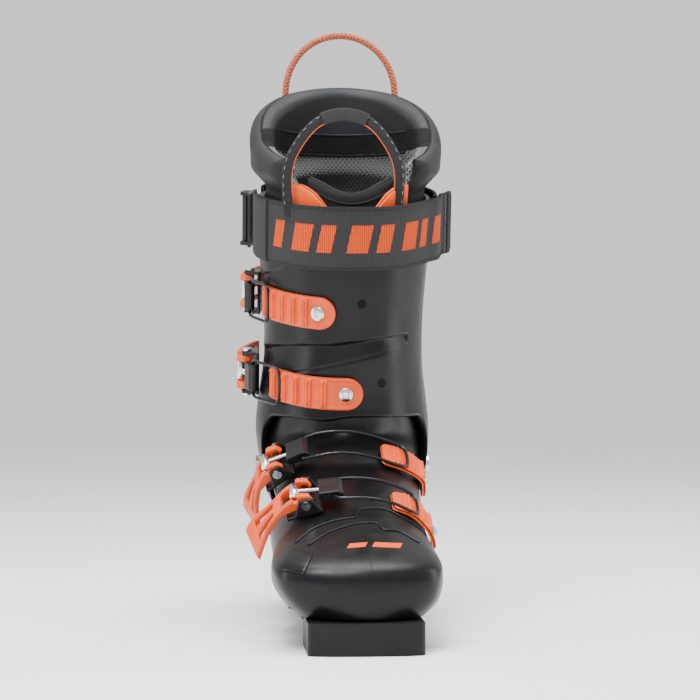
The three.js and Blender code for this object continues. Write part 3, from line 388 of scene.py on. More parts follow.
def bisect(above, low, high, steps=22):
    """Where above turns false between low and high, for arrays."""
    low, high = np.asarray(low, float), np.asarray(high, float)
    for _ in range(steps):
        middle = (low + high) / 2
        inside = above(middle)
        low, high = np.where(inside, middle, low), np.where(inside, high, middle)
    return low


def surface_x(surface_at, y, z, sign):
    side = np.where(sign > 0, 0.0, 1.0)
    u = bisect(lambda m: surface_at(m, z)[..., 1] < y, side, np.full_like(side, 0.5), 18)
    return surface_at(u, z)[..., 0]


def on_front(surface_at, x, z):
    """The point of the front of a surface at a place across and a height."""
    x, z = np.broadcast_arrays(np.asarray(x, float), np.asarray(z, float))
    middle = surface_at(np.zeros_like(x), z)[..., 0]
    sign = np.where(x >= middle, 1.0, -1.0)
    u = bisect(lambda m: np.abs(surface_at(sign * m, z)[..., 0] - middle) < np.abs(x - middle),
               np.zeros_like(x), np.full_like(x, 0.22))
    return surface_at(sign * u, z)


class Section:
    """A tilted plane across the boot. Directions in it are angles: 0 inner, 180 outer, 270 front."""

    def __init__(self, height, tilt, depth, surface_at):
        self.surface_at = surface_at
        self.axis = np.array([0, math.cos(math.radians(tilt)), math.sin(math.radians(tilt))])
        self.across = np.cross(self.axis, [1, 0, 0])
        top = surface_at(0.0, height) * [0, 1, 1]
        self.centre = top + self.across * depth

    def direction(self, angle):
        a = np.radians(np.asarray(angle, float))[..., None]
        return np.cos(a) * [1, 0, 0] + np.sin(a) * self.across

    def point(self, angle, radius, along=0.0):
        radius, along = np.asarray(radius, float)[..., None], np.asarray(along, float)[..., None]
        return self.centre + along * self.axis + radius * self.direction(angle)

    def holds(self, p):
        inside = (p[..., 1] >= self.surface_at(np.zeros(p.shape[:-1]), p[..., 2])[..., 1])
        inside &= p[..., 1] <= self.surface_at(np.full(p.shape[:-1], 0.5), p[..., 2])[..., 1]
        sign = np.where(p[..., 0] < 0, -1, 1)
        limit = np.abs(surface_x(self.surface_at, p[..., 1], p[..., 2], sign))
        return inside & (np.abs(p[..., 0]) < limit)

    def radius(self, angle, width=0.0):
        angle = np.asarray(angle, float)
        stations = np.linspace(-0.5, 0.5, 7) * width if width else np.zeros(1)
        angles, along = np.meshgrid(angle.ravel(), stations, indexing="ij")
        found = bisect(lambda r: self.holds(self.point(angles, r, along)),
                       np.full(angles.shape, 5.0), np.full(angles.shape, 110.0), 14)
        return found.max(1).reshape(angle.shape)

    def frame(self, angle, width):
        """Tangent and outward normal of the section's outline at an angle."""
        ends = [self.point(a, float(self.radius(np.array([a]), width)[0])) for a in (angle - 3, angle + 3)]
        tangent = (ends[1] - ends[0]) / np.linalg.norm(ends[1] - ends[0])
        return tangent, np.cross(tangent, self.axis)


# ---------------------------------------------------------------- meshes
def piece(name, points, faces, look, body, replaces=(), uv=None, smooth_faces=True):
    """A mesh in the row frame that rides on a CAD body."""
    mesh = bpy.data.meshes.new(name)
    mesh.from_pydata((np.asarray(points) * MM).tolist(), [], [tuple(map(int, f)) for f in faces])
    mesh.validate()
    if uv is not None:
        layer = mesh.uv_layers.new(name="UVMap")
        index = np.zeros(len(mesh.loops), np.int32)
        mesh.loops.foreach_get("vertex_index", index)
        layer.data.foreach_set("uv", (np.asarray(uv)[index] * MM).astype(np.float32).ravel())
    obj = bpy.data.objects.new(name, mesh)
    bpy.context.scene.collection.objects.link(obj)
    mesh.materials.append(M[look])
    if smooth_faces:
        mesh.polygons.foreach_set("use_smooth", [True] * len(mesh.polygons))
    finish_piece(obj, body, replaces)
    return obj


def finish_piece(obj, body, replaces=()):
    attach(obj, body)
    if replaces:
        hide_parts(*replaces)


def grid_faces(rows, columns, wrap_rows=False, wrap_columns=False, start=0):
    """Quads over a grid of rows x columns points, numbered along each row."""
    i = np.arange(rows if wrap_rows else rows - 1)
    j = np.arange(columns if wrap_columns else columns - 1)
    i, j = np.meshgrid(i, j, indexing="ij")
    at = lambda a, b: start + (a % rows) * columns + (b % columns)
    return np.stack([at(i, j), at(i + 1, j), at(i + 1, j + 1), at(i, j + 1)], -1).reshape(-1, 4)


def shell_mesh(outer, inner):
    """A closed body from two grids (round x up) of equal size, joined at both rims."""
    rows, columns = outer.shape[:2]
    loop = np.concatenate([outer, inner[:, ::-1]], 1)
    faces = grid_faces(rows, 2 * columns, wrap_rows=True, wrap_columns=True)
    return loop.reshape(-1, 3), faces


def sweep(path, profile, side, closed=False):
    """A bar along a path. profile is in (side, normal) coordinates; side gives each point's side."""
    path = np.asarray(path, float)
    ahead, behind = np.roll(path, -1, 0), np.roll(path, 1, 0)
    if not closed:
        ahead[-1], behind[0] = path[-1], path[0]
    forward = ahead - behind
    forward /= np.linalg.norm(forward, axis=1, keepdims=True)
    side = np.broadcast_to(np.asarray(side, float), path.shape)
    side = side - (side * forward).sum(1, keepdims=True) * forward
    side = side / np.linalg.norm(side, axis=1, keepdims=True)
    normal = np.cross(side, forward)
    profile = np.asarray(profile, float)
    points = (path[:, None] + profile[None, :, :1] * side[:, None] + profile[None, :, 1:] * normal[:, None])
    count = len(profile)
    faces = grid_faces(len(path), count, wrap_rows=closed, wrap_columns=True).tolist()
    if not closed:
        faces += [list(range(count))[::-1], [(len(path) - 1) * count + k for k in range(count)]]
    run = np.concatenate([[0], np.cumsum(np.linalg.norm(np.diff(path, axis=0), axis=1))])
    round_ = np.concatenate([[0], np.cumsum(np.linalg.norm(np.diff(profile, axis=0), axis=1))])
    uv = np.stack(np.broadcast_arrays(run[:, None], round_[None]), -1).reshape(-1, 2)
    return points.reshape(-1, 3), faces, uv


def oval(width, height, sides=14, power=2.0):
    """A rounded section; a higher power is squarer."""
    a = np.linspace(0, 2 * math.pi, sides, endpoint=False)
    shape = lambda v: np.sign(v) * np.abs(v) ** (2 / power)
    return np.stack([width / 2 * shape(np.cos(a)), height / 2 * shape(np.sin(a))], -1)


def spline(points, count):
    """Points evenly along a smooth curve through the given ones."""
    points = np.asarray(points, float)
    ends = np.concatenate([[2 * points[0] - points[1]], points, [2 * points[-1] - points[-2]]])
    t = np.linspace(0, 1, 24, endpoint=False)[:, None]
    parts = []
    for a, b, c, d in zip(ends, ends[1:], ends[2:], ends[3:]):
        parts.append(0.5 * (2 * b + (c - a) * t + (2 * a - 5 * b + 4 * c - d) * t**2
                            + (3 * b - a - 3 * c + d) * t**3))
    fine = np.concatenate(parts + [points[-1:]])
    run = np.concatenate([[0], np.cumsum(np.linalg.norm(np.diff(fine, axis=0), axis=1))])
    at = np.linspace(0, run[-1], count)
    return np.stack([np.interp(at, run, fine[:, k]) for k in range(fine.shape[1])], -1)


def merge(parts):
    """Several (points, faces) as one mesh."""
    points, faces, start = [], [], 0
    for p, f in parts:
        points.append(np.asarray(p, float))
        faces += [[int(k) + start for k in face] for face in f]
        start += len(p)
    return np.concatenate(points), faces


def frozen(obj):
    """Applies the modifiers of a piece to its mesh."""
    graph = bpy.context.evaluated_depsgraph_get()
    made = bpy.data.meshes.new_from_object(obj.evaluated_get(graph))
    obj.modifiers.clear()
    obj.data = made
    return obj


def cast_copy(node, look, body, voxel=0.5, rounds=6):
    """A CAD solid with the softened edges of a casting."""
    obj = bpy.data.objects.new(node + "_cast", NODES[node].data.copy())
    bpy.context.scene.collection.objects.link(obj)
    remesh = obj.modifiers.new("remesh", "REMESH")
    remesh.mode, remesh.voxel_size, remesh.use_smooth_shade = "VOXEL", voxel * MM, True
    soften = obj.modifiers.new("soften", "SMOOTH")
    soften.factor, soften.iterations = 0.5, rounds
    frozen(obj)
    obj.data.materials.clear()
    obj.data.materials.append(M[look])
    finish_piece(obj, body, [node])
    return obj


# ---------------------------------------------------------------- lower shell and cuff
def cosine(u):
    return np.cos(2 * np.pi * u)


def cuff_top(u):
    return lerp(CUFF_TOP["front"], CUFF_TOP["rear"], (1 - cosine(u)) / 2)


def cuff_low(u):
    c = cosine(u)
    front = lerp(74, 134, smooth(c, -0.3, 0.42))
    return np.where(c > -0.3, front, lerp(74, 96, smooth(-c, 0.3, 0.95)))


def build_shell():
    """Outer skin over the lugs, a rolled rim, and the inside that the liner hides."""
    around, up, fold = 420, 190, 1.6
    u = np.arange(around)[:, None] / around
    v = np.linspace(0, 1, up)[None]
    foot = surface(u, 20.0)[..., 1]
    over_lug = np.maximum(1 - smooth(foot, 26, 36), smooth(foot, 214, 222))
    lug_top = np.where(foot < 120, 19.35, 30.35)
    low = lerp(12.0, lug_top, over_lug)
    top = SHELL_TOP + 4 * cosine(u)
    z = low + (top - low) * v
    edge = fold * (1 - np.sqrt(1 - (1 - np.minimum((z - low) / fold, 1)) ** 2))
    edge = edge + fold * (1 - np.sqrt(1 - (1 - np.minimum((top - z) / fold, 1)) ** 2)) * 0.8
    outer = shell_surface(u, z, edge)
    inner_low = low + 5
    z = inner_low + (top - inner_low) * v
    inner = shell_surface(u, z, SHELL_WALL)
    points, faces = shell_mesh(outer, inner)
    floor = np.concatenate([outer[:, 0], inner[:, 0]]).reshape(2, around, 3)
    closing = []
    for ring_ in (0, 1):
        start = len(points)
        points = np.concatenate([points, floor[ring_]])
        half = around // 2
        for k in range(half):
            a, b = start + k, start + k + 1
            c, d = start + (around - k - 1) % around, start + (around - k) % around
            closing.append([a, d, c, b] if ring_ == 0 else [a, b, c, d])
    faces = faces.tolist() + closing
    piece("shell_body", points, faces, "shell", "shell", ["lower_shell"])


# Places on the front of the boot as (x, z).
SCOOP_TOP = [(-70, 178), (-50, 181.5), (-30, 182), (-13, 181.5), (8, 184), (26, 186.8), (39, 189)]
SCOOP_LOW = [(-70, 157), (-50, 161), (-31, 163.8), (-10, 168), (14, 173.6), (30, 178), (39, 182.5)]
FLAP_EDGE = [(-75, 226), (-60, 229), (-50, 229), (-43, 231.5), (-37, 237), (-33, 250), (-32, 268)]


def cuff_relief(x, y, z):
    """Depth of the moulded scoop, less the height of the overlapping flap, on the front half."""
    top = np.interp(x, *np.transpose(SCOOP_TOP))
    low = np.interp(x, *np.transpose(SCOOP_LOW))
    share = np.clip((top - z) / (top - low), -1, 2)
    ends = smooth(x, -62, -44) * (1 - smooth(x, 38.5, 40.5))
    scoop = 2.6 * smooth(top - z, -0.5, 1.6) * (1 - np.clip(share, 0, 1)) ** 0.75 * ends
    crease = 0.5 * np.exp(-(((z - low) / 1.1) ** 2)) * ends
    flap_z = np.interp(x, *np.transpose(FLAP_EDGE[:5]))
    flap = smooth(z, flap_z - 0.6, flap_z + 0.8) * (1 - smooth(x, -38, -36.4))
    return (scoop + crease - 1.1 * flap) * (1 - smooth(y, 175, 200))


def build_cuff():
    around, up, rim = 520, 260, 2.2
    u = np.arange(around)[:, None] / around
    v = np.linspace(0, 1, up)[None]
    low, top = cuff_low(u), cuff_top(u)
    x = surface(u, 132.0)[..., 0]
    low = low - 2.5 * np.exp(-(((x + 18) / 13) ** 2)) * smooth(cosine(u), 0.3, 0.6)
    z = low + (top - low) * v
    flat = surface(u, z)
    round_low = rim * (1 - np.sqrt(1 - (1 - np.minimum((z - low) / rim, 1)) ** 2))
    round_top = rim * (1 - np.sqrt(1 - (1 - np.minimum((top - z) / rim, 1)) ** 2))
    relief = cuff_relief(flat[..., 0], flat[..., 1], z)
    outer = surface(u, z, relief + round_low + round_top * 0.8)
    inner = surface(u, z, CUFF_WALL)
    points, faces = shell_mesh(outer, inner)
    cuff = piece("cuff_body", points, faces, "shell", "cuff", ["cuff"])
    holes = []
    for x, z in SPARE_HOLES:
        spot = on_front(surface, x, z)
        turns = np.linspace(0, 2 * math.pi, 28, endpoint=False)
        ring_ = [spot + [2.8 * math.cos(a), 0, 2.8 * math.sin(a)] for a in turns]
        near, far = np.array(ring_) - [0, 12, 0], np.array(ring_) + [0, 2.6, 0]
        count = len(ring_)
        faces = grid_faces(2, count, wrap_columns=True).tolist()
        faces += [list(range(count))[::-1], list(range(count, 2 * count))]
        holes.append((np.concatenate([near, far]), faces))
    points, faces = merge(holes)
    mesh = bpy.data.meshes.new("drill")
    mesh.from_pydata((points * MM).tolist(), [], faces)
    drill = bpy.data.objects.new("drill", mesh)
    bpy.context.scene.collection.objects.link(drill)
    bore = cuff.modifiers.new("bore", "BOOLEAN")
    bore.operation, bore.object, bore.solver = "DIFFERENCE", drill, "EXACT"
    frozen(cuff)
    bpy.data.objects.remove(drill)


SPARE_HOLES = [(7.2, 207.5), (21, 156.5)]


# ---------------------------------------------------------------- raised lines on the toe
def surface_strip(line, surface_at, count, width, height, name, look, body, sink=0.25):
    """A raised line that follows the front of a surface."""
    flat = spline(line, count)
    path = on_front(surface_at, flat[:, 0], flat[:, 1])
    beside = on_front(surface_at, flat[:, 0], flat[:, 1] + 0.6)
    ahead = np.gradient(path, axis=0)
    normal = np.cross(ahead, beside - path)
    normal *= np.sign(-normal[:, 1:2])
    side = np.cross(ahead, normal)
    normal = normal / np.linalg.norm(normal, axis=1, keepdims=True)
    points, faces, uv = sweep(path + normal * sink, oval(width, 2 * height, 10), side)
    return piece(name, points, faces, look, body, uv=uv)


def build_toe_lines():
    outer = [(-39.5, 62.5), (-30, 69), (-18, 73.6), (-6, 75.6), (-2.5, 75.8)]
    step = [(-2.5, 75.8), (0.5, 79.6), (8, 80.6), (18, 79.6), (30, 73.6), (40, 66.5), (41.6, 64)]
    inner = [(-32.5, 61.5), (-20, 68), (-8, 71.6), (0, 73), (10, 73), (14, 69.6), (24, 68), (35, 62)]
    for k, line in enumerate((outer, step, inner)):
        surface_strip(line, shell_surface, 90, 1.5, 0.55, f"toe_line_{k}", "shell", "shell")
    seam = [(3, 50), (3.2, 58), (2.8, 68)]
    surface_strip(seam, shell_surface, 40, 0.5, 0.14, "mould_line", "shell", "shell", 0.05)


def surface_patch(corners, surface_at, height, name, look, body, across=24, up=14, lift=0.0):
    """A plate with rounded edges on the front of a surface, over four (x, z) corners."""
    a, b, c, d = (np.array(p, float) for p in corners)
    s, t = np.linspace(0, 1, across)[:, None, None], np.linspace(0, 1, up)[None, :, None]
    flat = lerp(lerp(a, b, s), lerp(d, c, s), t)
    base = on_front(surface_at, flat[..., 0], flat[..., 1])
    normal = np.cross(np.gradient(base, axis=0), np.gradient(base, axis=1))
    normal /= np.linalg.norm(normal, axis=-1, keepdims=True)
    normal *= np.sign(-normal[..., 1:2])
    edge = np.minimum(np.minimum(s, 1 - s) * across, np.minimum(t, 1 - t) * up)[..., 0]
    rise = height * np.minimum(1, 0.35 + edge / 1.6)
    outer = base + normal * (lift + rise[..., None])
    points = np.concatenate([outer.reshape(-1, 3), (base - normal * 0.8).reshape(-1, 3)])
    faces = slab_faces(across, up)
    uv = np.concatenate([flat.reshape(-1, 2)] * 2)
    return piece(name, points, faces, look, body, uv=uv)


def slab_faces(rows, columns):
    """A closed slab from two stacked grids of rows x columns."""
    top = grid_faces(rows, columns)
    count = rows * columns
    rim = ([(i, 0) for i in range(rows)] + [(rows - 1, j) for j in range(1, columns)]
           + [(i, columns - 1) for i in range(rows - 2, -1, -1)]
           + [(0, j) for j in range(columns - 2, 0, -1)])
    edge = [i * columns + j for i, j in rim]
    sides = [[a, b, b + count, a + count] for a, b in zip(edge, edge[1:] + edge[:1])]
    return top.tolist() + (top[:, ::-1] + count).tolist() + sides


# ---------------------------------------------------------------- buckles
def unit(v):
    return np.asarray(v, float) / np.linalg.norm(v)


BUCKLES = {
    "toe_buckle": (Section(85, 26, 40, shell_surface), "shell", (299, 352), 341, 1.0),
    "instep_buckle": (Section(111, 32, 40, shell_surface), "shell", (297, 350), 339, 2.4),
    "lower_cuff_buckle": (Section(150, LEAN, 68, surface), "cuff", (214, 277), 268, 0.8),
    "upper_cuff_buckle": (Section(201, LEAN, 68, surface), "cuff", (199, 262), 253, 0.8),
}
LADDER = {"width": 21, "thickness": 2.4, "pitch": 10.2, "tooth": 2.2}


def section_curve(section, start, end, width, count):
    """Angles with even spacing, with the surface's radius and the run along it."""
    angles = np.linspace(start, end, count)
    radii = section.radius(angles, width)
    points = section.point(angles, radii)
    run = np.concatenate([[0], np.cumsum(np.linalg.norm(np.diff(points, axis=0), axis=1))])
    return angles, radii, run


def build_ladder(name):
    """A toothed ladder with round ends; each tooth is a pair of rounded blocks."""
    section, body, (start, end), _, gap = BUCKLES[name]
    coarse = section_curve(section, start, end, LADDER["width"], 36)
    count, across = 340, 36
    run = np.linspace(0, coarse[2][-1], count)
    angles, radii = np.interp(run, coarse[2], coarse[0]), np.interp(run, coarse[2], coarse[1])
    total, half = run[-1], LADDER["width"] / 2
    s = np.linspace(-1, 1, across)
    far = np.clip((run - (total - half)) / half, 0, 1)
    near = np.clip((3.5 - run) / 3.5, 0, 1)
    reach = half * np.sqrt(np.clip(1 - far**2, 0.0025, 1)) * (1 - 0.22 * near**2)
    along = reach[:, None] * s
    phase = (run / LADDER["pitch"]) % 1
    tooth = smooth(phase, 0.4, 0.62) * (1 - smooth(phase, 0.88, 0.96)) * (run < total - 17)
    tooth *= 1 - 0.55 * np.exp(-(((phase - 0.74) / 0.05) ** 2))
    split = 1 - 0.9 * smooth(np.abs(s), 0.74, 0.9)
    rise = LADDER["tooth"] * tooth[:, None] * split
    frame_ = 0.5 * smooth(np.abs(s), 0.8, 0.9)[None] * np.ones((count, 1))
    rim = np.minimum(reach[:, None] * (1 - np.abs(s)), np.minimum(run, total - run)[:, None] + 0.05)
    fillet = 0.9 * (1 - np.minimum(rim / 1.1, 1)) ** 2
    angles, radii = angles[:, None], radii[:, None]
    top = section.point(angles + 0 * along, radii + gap + LADDER["thickness"] + rise + frame_ - fillet, along)
    low = section.point(angles + 0 * along, radii + gap + 0 * along, along)
    points = np.concatenate([top.reshape(-1, 3), low.reshape(-1, 3)])
    piece(name + "_ladder_cast", points, slab_faces(count, across), "orange", body,
          [name + "_ladder"])


def screw_head(name, origin, normal, radius, height, body, replaces, look="chrome"):
    """A pan-head screw with a six-lobed socket."""
    normal = unit(normal)
    side = unit(np.cross(normal, [0.3, 0.2, 0.9]))
    other = np.cross(normal, side)
    rings, spokes = 34, 72
    r = np.linspace(0.02, 1, rings)[:, None] * radius
    a = np.linspace(0, 2 * math.pi, spokes, endpoint=False)[None]
    dome = height * (1 - 0.55 * (r / radius) ** 2.4)
    socket = radius * (0.42 + 0.07 * np.cos(6 * a))
    dome = dome - 0.75 * height * (1 - smooth(r, socket - 0.12, socket + 0.12))
    across, up = (r * np.cos(a))[..., None], (r * np.sin(a))[..., None]
    grid = origin + across * side + up * other + dome[..., None] * normal
    skirt = origin + radius * (np.cos(a[0])[:, None] * side + np.sin(a[0])[:, None] * other)
    points = np.concatenate([grid.reshape(-1, 3), skirt - 0.2 * normal])
    faces = grid_faces(rings + 1, spokes, wrap_columns=True).tolist() + [list(range(spokes))[::-1]]
    faces.append([rings * spokes + k for k in range(spokes)])
    piece(name, points, faces, look, body, replaces)


def turn(vector, axis, degrees):
    return np.array(Matrix.Rotation(math.radians(degrees), 3, Vector(axis)) @ Vector(vector))


def hinge(name):
    joint = JOINTS[name]
    return np.array(joint["pos_m"]) / MM, unit(joint["axis"])


def build_rod(name):
    """Cross barrel and threaded rod between the lever and the clevis."""
    body = name + "_link"
    origin, axis = hinge(name + "_link_hinge")
    pin, _ = hinge(name + "_wire_hinge")
    ahead = unit(pin - origin)
    side = np.cross(axis, ahead)
    run = np.concatenate([[0, 0.01], np.linspace(2.6, 20, 150), [20.01]])
    radius = 1.55 + 0.22 * np.sin(2 * math.pi * run / 1.0)
    radius[0], radius[1], radius[-1] = 0.05, 1.5, 0.05
    a = np.linspace(0, 2 * math.pi, 20, endpoint=False)
    ring_ = np.cos(a)[:, None] * axis + np.sin(a)[:, None] * side
    rod = origin + run[:, None, None] * ahead + radius[:, None, None] * ring_
    count = len(run)
    faces = grid_faces(count, 20, wrap_columns=True).tolist()
    faces += [list(range(20))[::-1], [(count - 1) * 20 + k for k in range(20)]]
    along = np.array([-6.5, -6.4, -6.0, 6.0, 6.4, 6.5])
    size = np.array([0.05, 2.4, 2.9, 2.9, 2.4, 0.05])
    ring_ = np.cos(a)[:, None] * ahead + np.sin(a)[:, None] * side
    barrel = origin + along[:, None, None] * axis + size[:, None, None] * ring_
    barrel_faces = grid_faces(6, 20, wrap_columns=True).tolist()
    barrel_faces += [list(range(20))[::-1], [5 * 20 + k for k in range(20)]]
    points, faces = merge([(rod.reshape(-1, 3), faces), (barrel.reshape(-1, 3), barrel_faces)])
    obj = piece(name + "_rod_threaded", points, faces, "chrome", body, [name + "_rod"])
    return obj


def build_buckle(name):
    section, host, _, screw_angle, gap = BUCKLES[name]
    cast_copy(name + "_lever", "orange", name + "_lever", 0.5, 8)
    cast_copy(name + "_base", "black", host, 0.5, 6)
    cast_copy(name + "_clevis", "black", name + "_link", 0.4, 5)
    cast_copy(name + "_wire", "wire", name + "_wire", 0.35, 10)
    build_rod(name)
    build_ladder(name)
    width = LADDER["width"]
    radius = float(section.radius(np.array([screw_angle]), width)[0])
    _, normal = section.frame(screw_angle, width)
    seat = section.point(screw_angle, radius) + normal * (gap + LADDER["thickness"] + 0.35)
    screw_head(name + "_screw_head", seat, normal, 4.4, 1.9, host, [name + "_ladder_screw"])
    for side in ("front", "rear"):
        bevel_node(name + "_rivet_" + side, "chrome", 0.45)


def bevel_node(node, look, width):
    """A CAD node shown as it is, with broken edges."""
    obj = NODES[node]
    obj.data.materials.clear()
    obj.data.materials.append(M[look])
    bevel = obj.modifiers.new("edges", "BEVEL")
    bevel.width, bevel.segments, bevel.limit_method = width * MM, 3, "ANGLE"
    bevel.angle_limit = math.radians(35)
    bevel.harden_normals = False


# ---------------------------------------------------------------- straps
STRAP = Section(249, LEAN, 68, surface)
STRAP_WIDTH, STRAP_GAP, STRAP_THICK = 41, 0.8, 2.6
STRAP_TABLE = section_curve(STRAP, -24, 372, STRAP_WIDTH, 180)


def front_lift(angle):
    """Height of the strap's inner face above the cuff: it laps over the rear strap."""
    lap = STRAP_THICK + 0.5
    return STRAP_GAP + smooth(angle, 324, 338) * lap + 7 * smooth(angle, 352, 366)


def strap_grid(start, end, count):
    """Points at places along the strap, and a run in millimetres."""
    angles, radii, run = STRAP_TABLE
    place = np.linspace(np.interp(start, angles, run), np.interp(end, angles, run), count)
    angle, radius = np.interp(place, run, angles), np.interp(place, run, radii)
    return angle, radius, place - place[0]


def build_strap(name, node, start, end, lift, look="webbing"):
    count, across = 420, 30
    s = np.linspace(-1, 1, across)
    angle, radius, run = strap_grid(start, end, count)
    half = STRAP_WIDTH / 2
    along = half * s[None] * np.ones((count, 1))
    ripple = 0.18 * np.sin(run[:, None] / 11.0) * (0.4 + 0.6 * s[None] ** 2)
    edge = 0.55 * (1 - np.minimum((1 - np.abs(s[None])) * half / 1.2, 1)) ** 2
    base = radius[:, None] + lift(angle)[:, None]
    top = STRAP.point(angle[:, None] + 0 * along, base + STRAP_THICK - edge + ripple, along)
    low = STRAP.point(angle[:, None] + 0 * along, base + edge * 0.6 + ripple * 0.5, along)
    points = np.concatenate([top.reshape(-1, 3), low.reshape(-1, 3)])
    uv = np.stack(np.broadcast_arrays(run[:, None], along), -1).reshape(-1, 2)
    obj = piece(name, points, slab_faces(count, across), look, "cuff", [node],
                np.concatenate([uv, uv]))
    return obj


def strap_patch(name, start, end, low, high, look, height, thickness=0.5, slant=0.0, body="cuff"):
    """A thin layer on the front strap. slant shifts its top along the strap, in degrees."""
    count, across = 40, 14
    s = np.linspace(0, 1, count)[:, None]
    t = np.linspace(0, 1, across)[None]
    angle = lerp(start, end, s) + slant * (t - 0.5)
    angles, radii, run = STRAP_TABLE
    radius = np.interp(angle, angles, radii) + front_lift(angle) + STRAP_THICK + height
    along = lerp(low, high, t) + 0 * s
    mm = np.interp(angle, angles, run)
    ripple = 0.18 * np.sin((mm - np.interp(172, angles, run)) / 11.0) * (0.4 + 0.6 * (along / 20.5) ** 2)
    edge = np.minimum(np.minimum(s, 1 - s) * count, np.minimum(t, 1 - t) * across)
    rise = thickness * np.minimum(1, 0.3 + edge / 1.5)
    top = STRAP.point(angle, radius + ripple + rise, along)
    base = STRAP.point(angle, radius + ripple - 0.5, along)
    uv = np.stack([mm, along], -1).reshape(-1, 2)
    points = np.concatenate([top.reshape(-1, 3), base.reshape(-1, 3)])
    return piece(name, points, slab_faces(count, across), look, body, uv=np.concatenate([uv, uv]))


def strap_stitches(name, places):
    """Short threads on the strap: places are (angle, along, tilt) with tilt in degrees."""
    angles, radii, _ = STRAP_TABLE
    parts = []
    for angle, along, lean in places:
        radius = float(np.interp(angle, angles, radii) + front_lift(np.array(angle)) + STRAP_THICK + 0.3)
        centre = STRAP.point(angle, radius, along)
        tangent, normal = unit(STRAP.point(angle + 1, radius, along) - centre), STRAP.direction(angle)
        run = turn(tangent, normal, lean) * 1.3
        path = spline([centre - run, centre + normal * 0.25, centre + run], 5)
        points, faces, _ = sweep(path, oval(0.5, 0.5, 6), normal)
        parts.append((points, faces))
    points, faces = merge(parts)
    piece(name, points, faces, "thread", "cuff")


def build_straps():
    build_strap("rear_strap_webbing", "rear_strap", -16, 150, lambda a: np.full(np.shape(a), STRAP_GAP))
    build_strap("power_strap_webbing", "power_strap", 172, 366, front_lift)
    strap_patch("strap_fold", 196, 214, -20.3, 20.3, "webbing", 0.0, 1.6)
    strap_patch("strap_end_binding", 359.5, 365.8, -20.6, 20.6, "edging", 0.0, 1.0)
    strap_patch("strap_edge_top", 214, 360, 18.6, 20.6, "edging", -0.3, 0.7)
    strap_patch("strap_edge_low", 214, 360, -20.6, -18.6, "edging", -0.3, 0.7)
    bars, start, end = 8, 222, 346
    pitch = (end - start) / bars
    for k in range(bars):
        low = start + k * pitch
        size = 0.72 if k % 2 else 0.5
        strap_patch(f"strap_bar_{k}", low, low + size * pitch, -9, 9, "print", 0.0, 0.25, 3.0)
    rows = [(198, y, 90) for y in np.arange(-18, 18.1, 3.6)]
    rows += [(212.3, y, 90) for y in np.arange(-18, 18.1, 3.6)]
    rows += [(357.5, y, 90) for y in np.arange(-18, 18.1, 3.6)]
    strap_stitches("strap_stitching", rows)


# ---------------------------------------------------------------- liner and tongue
LINER_TOP = {"front": 288, "side": 316, "rear": 358}
TONGUE_HALF, LINER_START = 0.135, 0.16
COLLAR_FLARE, COLLAR_WALL = 4.5, 17
FLEECE_LOW, FLEECE_TOP = 311, 325
SHAFT_ROOM = CUFF_WALL + CUFF_GAP + SHELL_WALL + 2.4


def collar_top(u):
    c = cosine(u)
    return np.where(c > 0, lerp(LINER_TOP["side"], LINER_TOP["front"], c),
                    lerp(LINER_TOP["side"], LINER_TOP["rear"], np.maximum(-c, 0) ** 0.9))


def liner_inset(u, z):
    rim = cuff_top(u) + 5
    base = lerp(SHAFT_ROOM + FLEX_ROOM, CUFF_WALL + 1, smooth(z, SHELL_TOP + 14, SHELL_TOP + 30))
    return lerp(base, -COLLAR_FLARE, smooth(z, rim, rim + 15))


def swell(obj, pressure, cap, frames=16, pinned=None):
    """Fills a padded piece: cloth under pressure, with a limit on how far a point moves."""
    before = np.zeros(len(obj.data.vertices) * 3)
    obj.data.vertices.foreach_get("co", before)
    before = before.reshape(-1, 3)
    sim = obj.modifiers.new("cloth", "CLOTH")
    sim.settings.use_pressure = True
    sim.settings.uniform_pressure_force = pressure
    sim.settings.tension_stiffness = sim.settings.compression_stiffness = 25
    sim.settings.effector_weights.gravity = 0
    sim.settings.quality = 5
    if pinned is not None:
        group = obj.vertex_groups.new(name="pin")
        group.add([int(k) for k in np.nonzero(pinned)[0]], 1.0, "REPLACE")
        sim.settings.vertex_group_mass = "pin"
    scene = bpy.context.scene
    for number in range(1, frames + 1):
        scene.frame_set(number)
    graph = bpy.context.evaluated_depsgraph_get()
    made = obj.evaluated_get(graph).to_mesh()
    after = np.zeros(len(made.vertices) * 3)
    made.vertices.foreach_get("co", after)
    after = after.reshape(-1, 3)
    obj.evaluated_get(graph).to_mesh_clear()
    obj.modifiers.remove(sim)
    scene.frame_set(1)
    move = after - before
    length = np.linalg.norm(move, axis=1, keepdims=True)
    move *= np.minimum(1, cap * MM / np.maximum(length, 1e-9))
    obj.data.vertices.foreach_set("co", (before + move).ravel())
    obj.data.update()


def collar_points(u, z, depth):
    return surface(u, z, liner_inset(u, z) + depth)


